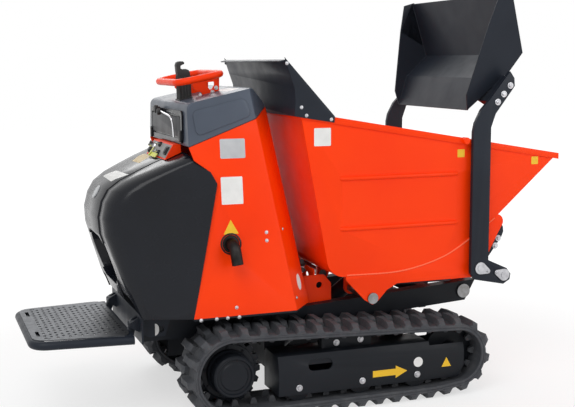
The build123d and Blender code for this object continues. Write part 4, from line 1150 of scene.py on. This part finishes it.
paper = (
    ("bonnet_label", "labelWhite", "bonnet", [
        (-0.5923, 0.0924, 0.7272), (-0.5559, 0.0568, 0.7473), (-0.5492, -0.1101, 0.7506),
        (-0.5949, -0.0597, 0.7253),
    ]),
    ("bonnet_strip", "labelGold", "bonnet", [
        (-0.4982, 0.0778, 0.7744), (-0.4493, 0.1317, 0.7931), (-0.4499, 0.0095, 0.7949),
        (-0.4949, -0.0146, 0.7759),
    ]),
    ("console_label", "labelWhite", "console", [
        (-0.245, -0.05, 1.006), (-0.203, -0.05, 1.013), (-0.203, -0.165, 1.013), (-0.245, -0.165, 1.006),
    ]),
)

noseDisc = {
    "place": (-0.6312, 0, 0.6875), "normal": (-0.87, 0, 0.5), "steps": 36,
    "profile": [(0, -0.004), (0.022, -0.004), (0.022, 0.0025), (0.0205, 0.0035), (0.018, 0.0028), (0, 0.0032)],
}


def makeTopLabels():
    for name, finish, node, corners in paper:
        addPiece(name, draped(node, corners), finish, "chassis")
    work = bmesh.new()
    lathe(work, noseDisc["profile"], noseDisc["steps"], facing(noseDisc["place"], noseDisc["normal"]))
    addPiece("nose_disc", meshOf(work, 40), "labelSilver", "chassis")


makeLever()
makeBracket()
makeConsole()
makeSwitches()
makeTopLabels()
print("controls done")


# Beads pressed into the skip's sides, the web of its support and the plates on the carrier shoes

beads = {
    "middleX": 0.29, "heights": (0.57, 0.731), "half": 0.2, "y": 0.309, "radius": 0.0068, "sides": 16,
    "ends": ((-1.03, 0.006), (-1.015, 0.002), (-1, 0), (1, 0), (1.015, 0.002), (1.03, 0.006)),  # share and sinking
}

web = {
    "corners": [(-0.152, -0.028), (0.152, -0.028), (0.152, 0.0275), (-0.152, 0.0275)], "corner": 0.008,
    "holes": (-0.09, 0.09), "holeHalf": (0.014, 0.009), "holeSteps": 14, "lift": (-0.002, 0.002),
    "place": (0.054, 0, 0.388), "edge": 0.0008,
}

shoePlate = {"size": (0.16, 0.046, 0.006), "lift": (-0.004, 0), "x": 0.113, "y": 0.3025, "z": 0.199, "edge": 0.001}


def makeBeads():
    meshes = []
    for z in beads["heights"]:
        path = []
        for share, sinking in beads["ends"]:
            path.append((beads["middleX"] + beads["half"] * share, sinking - beads["y"], z))
        bead = tubeMesh(path, beads["radius"], beads["sides"])
        meshes += [bead, mirrored(bead)]
    addPiece("skip_beads", joined(*meshes), "orange", "skip")


def makePlates():
    work = bmesh.new()
    holes = [oval((y, 0), *web["holeHalf"], web["holeSteps"]) for y in web["holes"]]
    pierced(work, roundedOutline(web["corners"], web["corner"]), holes, web["lift"],
            facing(web["place"], (-1, 0, 0)))
    addPiece("support_web", softened(meshOf(work), web["edge"]), "orange", "chassis")
    work = bmesh.new()
    for side, _ in sides:
        place = (shoePlate["x"], side * shoePlate["y"], shoePlate["z"])
        prism(work, roundedRect(*shoePlate["size"]), shoePlate["lift"], facing(place, (0, side, 0)))
    addPiece("shoe_plates", softened(meshOf(work), shoePlate["edge"]), "darkSteel", "chassis")


makeBeads()
makePlates()
print("beads and plates done")


# Weld seams in a lighter orange that is painted highlight, hoses, and the exhaust's collar and open end, where a
# black disc is painted shade

seam = {
    "path": [(0.1047, 0.4203), (0.2919, 0.4212), (0.4373, 0.4541), (0.5408, 0.5076), (0.64, 0.576)],
    "y": 0.308, "radius": 0.0024, "sides": 8, "ripple": 0.14, "steps": 30,
}

hoses = {
    "runs": (
        (0.0085, [(-0.012, -0.205, 0.455), (0.012, -0.16, 0.438), (0.022, -0.08, 0.425), (0.02, 0.05, 0.42),
                  (-0.012, 0.16, 0.43)]),
        (0.0075, [(-0.012, -0.215, 0.43), (0.01, -0.165, 0.418), (0.024, -0.09, 0.408), (0.022, 0.06, 0.402),
                  (-0.012, 0.17, 0.41)]),
        (0.0065, [(-0.012, -0.19, 0.405), (0.008, -0.12, 0.4), (0.018, -0.03, 0.398), (0.01, 0.08, 0.4),
                  (-0.012, 0.14, 0.405)]),
        (0.006, [(-0.012, -0.1, 0.47), (0.006, -0.1, 0.452), (0.006, -0.1, 0.41), (-0.004, -0.1, 0.36)]),
    ),
    "coupled": 2, "couplingFrom": 8, "couplingTo": 11, "couplingWide": 1.25, "couplingSides": 6,
}

pipe = {
    "end": (-0.27, -0.345, 0.487), "down": (0.007, -0.01, -0.058), "boreSteps": 28,
    # The bore is a thin black disc just inside the pipe's end, painted shade where the hollow would be dark.
    "bore": [(0, 0.0006), (0.0148, 0.0006), (0.0148, -0.002), (0, -0.002)],
    "collarAt": (-0.277, -0.2988, 0.545), "collarSteps": 36,
    "collar": [(0, -0.003), (0.0335, -0.003), (0.0335, 0.0008), (0.0325, 0.0016), (0.0285, 0.0016),
               (0.0275, -0.0028), (0, -0.0028)],
}


def makeSeams():
    path = smoothPath([(x, -seam["y"], z) for x, z in seam["path"]], seam["steps"])
    bead = tubeMesh(path, seam["radius"], seam["sides"], seam["ripple"])
    # The seam beads are real welds, and their lighter orange paints the highlight along them.
    addPiece("skirt_seams", joined(bead, mirrored(bead)), "seamHighlightOrange", "skip")


def makeHoses():
    pipes = [tubeMesh(smoothPath(points), radius) for radius, points in hoses["runs"]]
    addPiece("hoses", joined(*pipes), "hose", "chassis")
    couplings = []
    for radius, points in hoses["runs"][:hoses["coupled"]]:
        path = smoothPath(points)[hoses["couplingFrom"]:hoses["couplingTo"]]
        couplings.append(tubeMesh(path, radius * hoses["couplingWide"], hoses["couplingSides"]))
    addPiece("hose_couplings", joined(*couplings), "zinc", "chassis")


def makeExhaust():
    work = bmesh.new()
    # A black disc stands for the open bore: painted shade, as the pipe itself is solid.
    lathe(work, pipe["bore"], pipe["boreSteps"], facing(pipe["end"], pipe["down"], (1, 0, 0)))
    addPiece("exhaust_bore", meshOf(work), "boreShadeBlack", "chassis")
    work = bmesh.new()
    lathe(work, pipe["collar"], pipe["collarSteps"], facing(pipe["collarAt"], outward["wall"]))
    addPiece("exhaust_collar", meshOf(work, 40), "soot", "chassis")


makeSeams()
makeHoses()
makeExhaust()
print("seams and hoses done")


# Floor, backdrop, lamps and camera

stage = {
    "floorHalf": 14.0, "floorTone": tone(245, 245, 245), "nearReach": 1.2, "farReach": 2.6, "nearShare": 0.55,
    "glow": 1.12, "skyLight": 0.55, "backdrop": 1.0,
    "lamps": (
        ("keyLamp", (-2.6, -3.2, 4.2), (0, 0, 0.6), 3.0, 95),
        ("fillLamp", (3.2, -3.6, 2.4), (0.2, 0, 0.6), 3.0, 50),
        ("rearLamp", (0.5, 3.6, 3.0), (0, 0, 0.7), 2.5, 45),
    ),
}


def showWhite(look):
    # Rays from the camera, mirrors and glass see a lit white floor that turns plain white far off.
    path = look.make("ShaderNodeLightPath")
    seen = look.wire(path.outputs["Is Camera Ray"]) + look.wire(path.outputs["Is Glossy Ray"])
    seen = seen + look.wire(path.outputs["Is Transmission Ray"])
    length = look.make("ShaderNodeVectorMath", {"operation": "LENGTH"}, {0: look.space})
    distance = look.wire(length.outputs["Value"])
    share = look.fade(distance, stage["nearReach"], stage["farReach"], stage["nearShare"], 1.0)
    glow = look.make("ShaderNodeEmission", sockets={"Strength": stage["glow"]})
    blend = look.make("ShaderNodeMixShader", sockets={
        0: seen * share, 1: look.shader.outputs["BSDF"], 2: glow.outputs["Emission"],
    })
    look.tree.links.new(blend.outputs["Shader"], look.tree.nodes["Material Output"].inputs["Surface"])


def makeFloor():
    mesh = bpy.data.meshes.new("floor")
    half = stage["floorHalf"]
    mesh.from_pydata([(-half, -half, 0), (half, -half, 0), (half, half, 0), (-half, half, 0)], [], [(0, 1, 2, 3)])
    floor = bpy.data.objects.new("floor", mesh)
    scene.collection.objects.link(floor)
    look = Finish("floorPaint")
    look.set(Base_Color=(*stage["floorTone"], 1), Roughness=look.fade(look.noise(2), 0.3, 0.7, 0.7, 0.8))
    showWhite(look)
    mesh.materials.append(look.material)


def makeWorld():
    world = bpy.data.worlds.new("studio")
    scene.world = world
    world.use_nodes = True
    tree = world.node_tree
    ground = tree.nodes["Background"]
    ground.inputs["Color"].default_value = (1, 1, 1, 1)
    ground.inputs["Strength"].default_value = stage["skyLight"]
    bright = tree.nodes.new("ShaderNodeBackground")
    bright.inputs["Color"].default_value = (1, 1, 1, 1)
    bright.inputs["Strength"].default_value = stage["backdrop"]
    path = tree.nodes.new("ShaderNodeLightPath")
    choose = tree.nodes.new("ShaderNodeMixShader")
    seen = path.outputs["Is Camera Ray"]
    for ray in ("Is Glossy Ray", "Is Transmission Ray"):
        both = tree.nodes.new("ShaderNodeMath")
        both.operation = "MAXIMUM"
        tree.links.new(seen, both.inputs[0])
        tree.links.new(path.outputs[ray], both.inputs[1])
        seen = both.outputs[0]
    tree.links.new(seen, choose.inputs[0])
    tree.links.new(ground.outputs[0], choose.inputs[1])
    tree.links.new(bright.outputs[0], choose.inputs[2])
    tree.links.new(choose.outputs[0], tree.nodes["World Output"].inputs["Surface"])


def makeLamp(name, place, aim, size, power):
    data = bpy.data.lights.new(name, "AREA")
    data.size = size
    data.energy = power
    lamp = bpy.data.objects.new(name, data)
    lamp.location = place
    lamp.rotation_mode = "QUATERNION"
    lamp.rotation_quaternion = (Vector(aim) - Vector(place)).to_track_quat("-Z", "Y")
    scene.collection.objects.link(lamp)


camera = {
    "place": (-1.20374, -3.32462, 1.09743),
    "yaw": -20.16,
    "pitch": 7.72,
    "roll": -0.22,
    "focal": 1049.9,
    "imageWidth": 575,
    "sensor": 36,
}


def makeCamera():
    data = bpy.data.cameras.new("camera")
    data.sensor_width = camera["sensor"]
    data.lens = camera["focal"] / camera["imageWidth"] * camera["sensor"]
    eye = bpy.data.objects.new("camera", data)
    yaw = math.radians(camera["yaw"])
    pitch = math.radians(camera["pitch"])
    back = Vector((math.sin(yaw) * math.cos(pitch), -math.cos(yaw) * math.cos(pitch), math.sin(pitch)))
    turn = (-back).to_track_quat("-Z", "Y").to_matrix().to_4x4()
    roll = Matrix.Rotation(math.radians(camera["roll"]), 4, "Z")
    eye.matrix_world = Matrix.Translation(camera["place"]) @ turn @ roll
    scene.collection.objects.link(eye)
    scene.camera = eye


makeFloor()
makeWorld()
for lamp in stage["lamps"]:
    makeLamp(*lamp)
makeCamera()
scene.view_settings.view_transform = "Standard"
print("stage set")
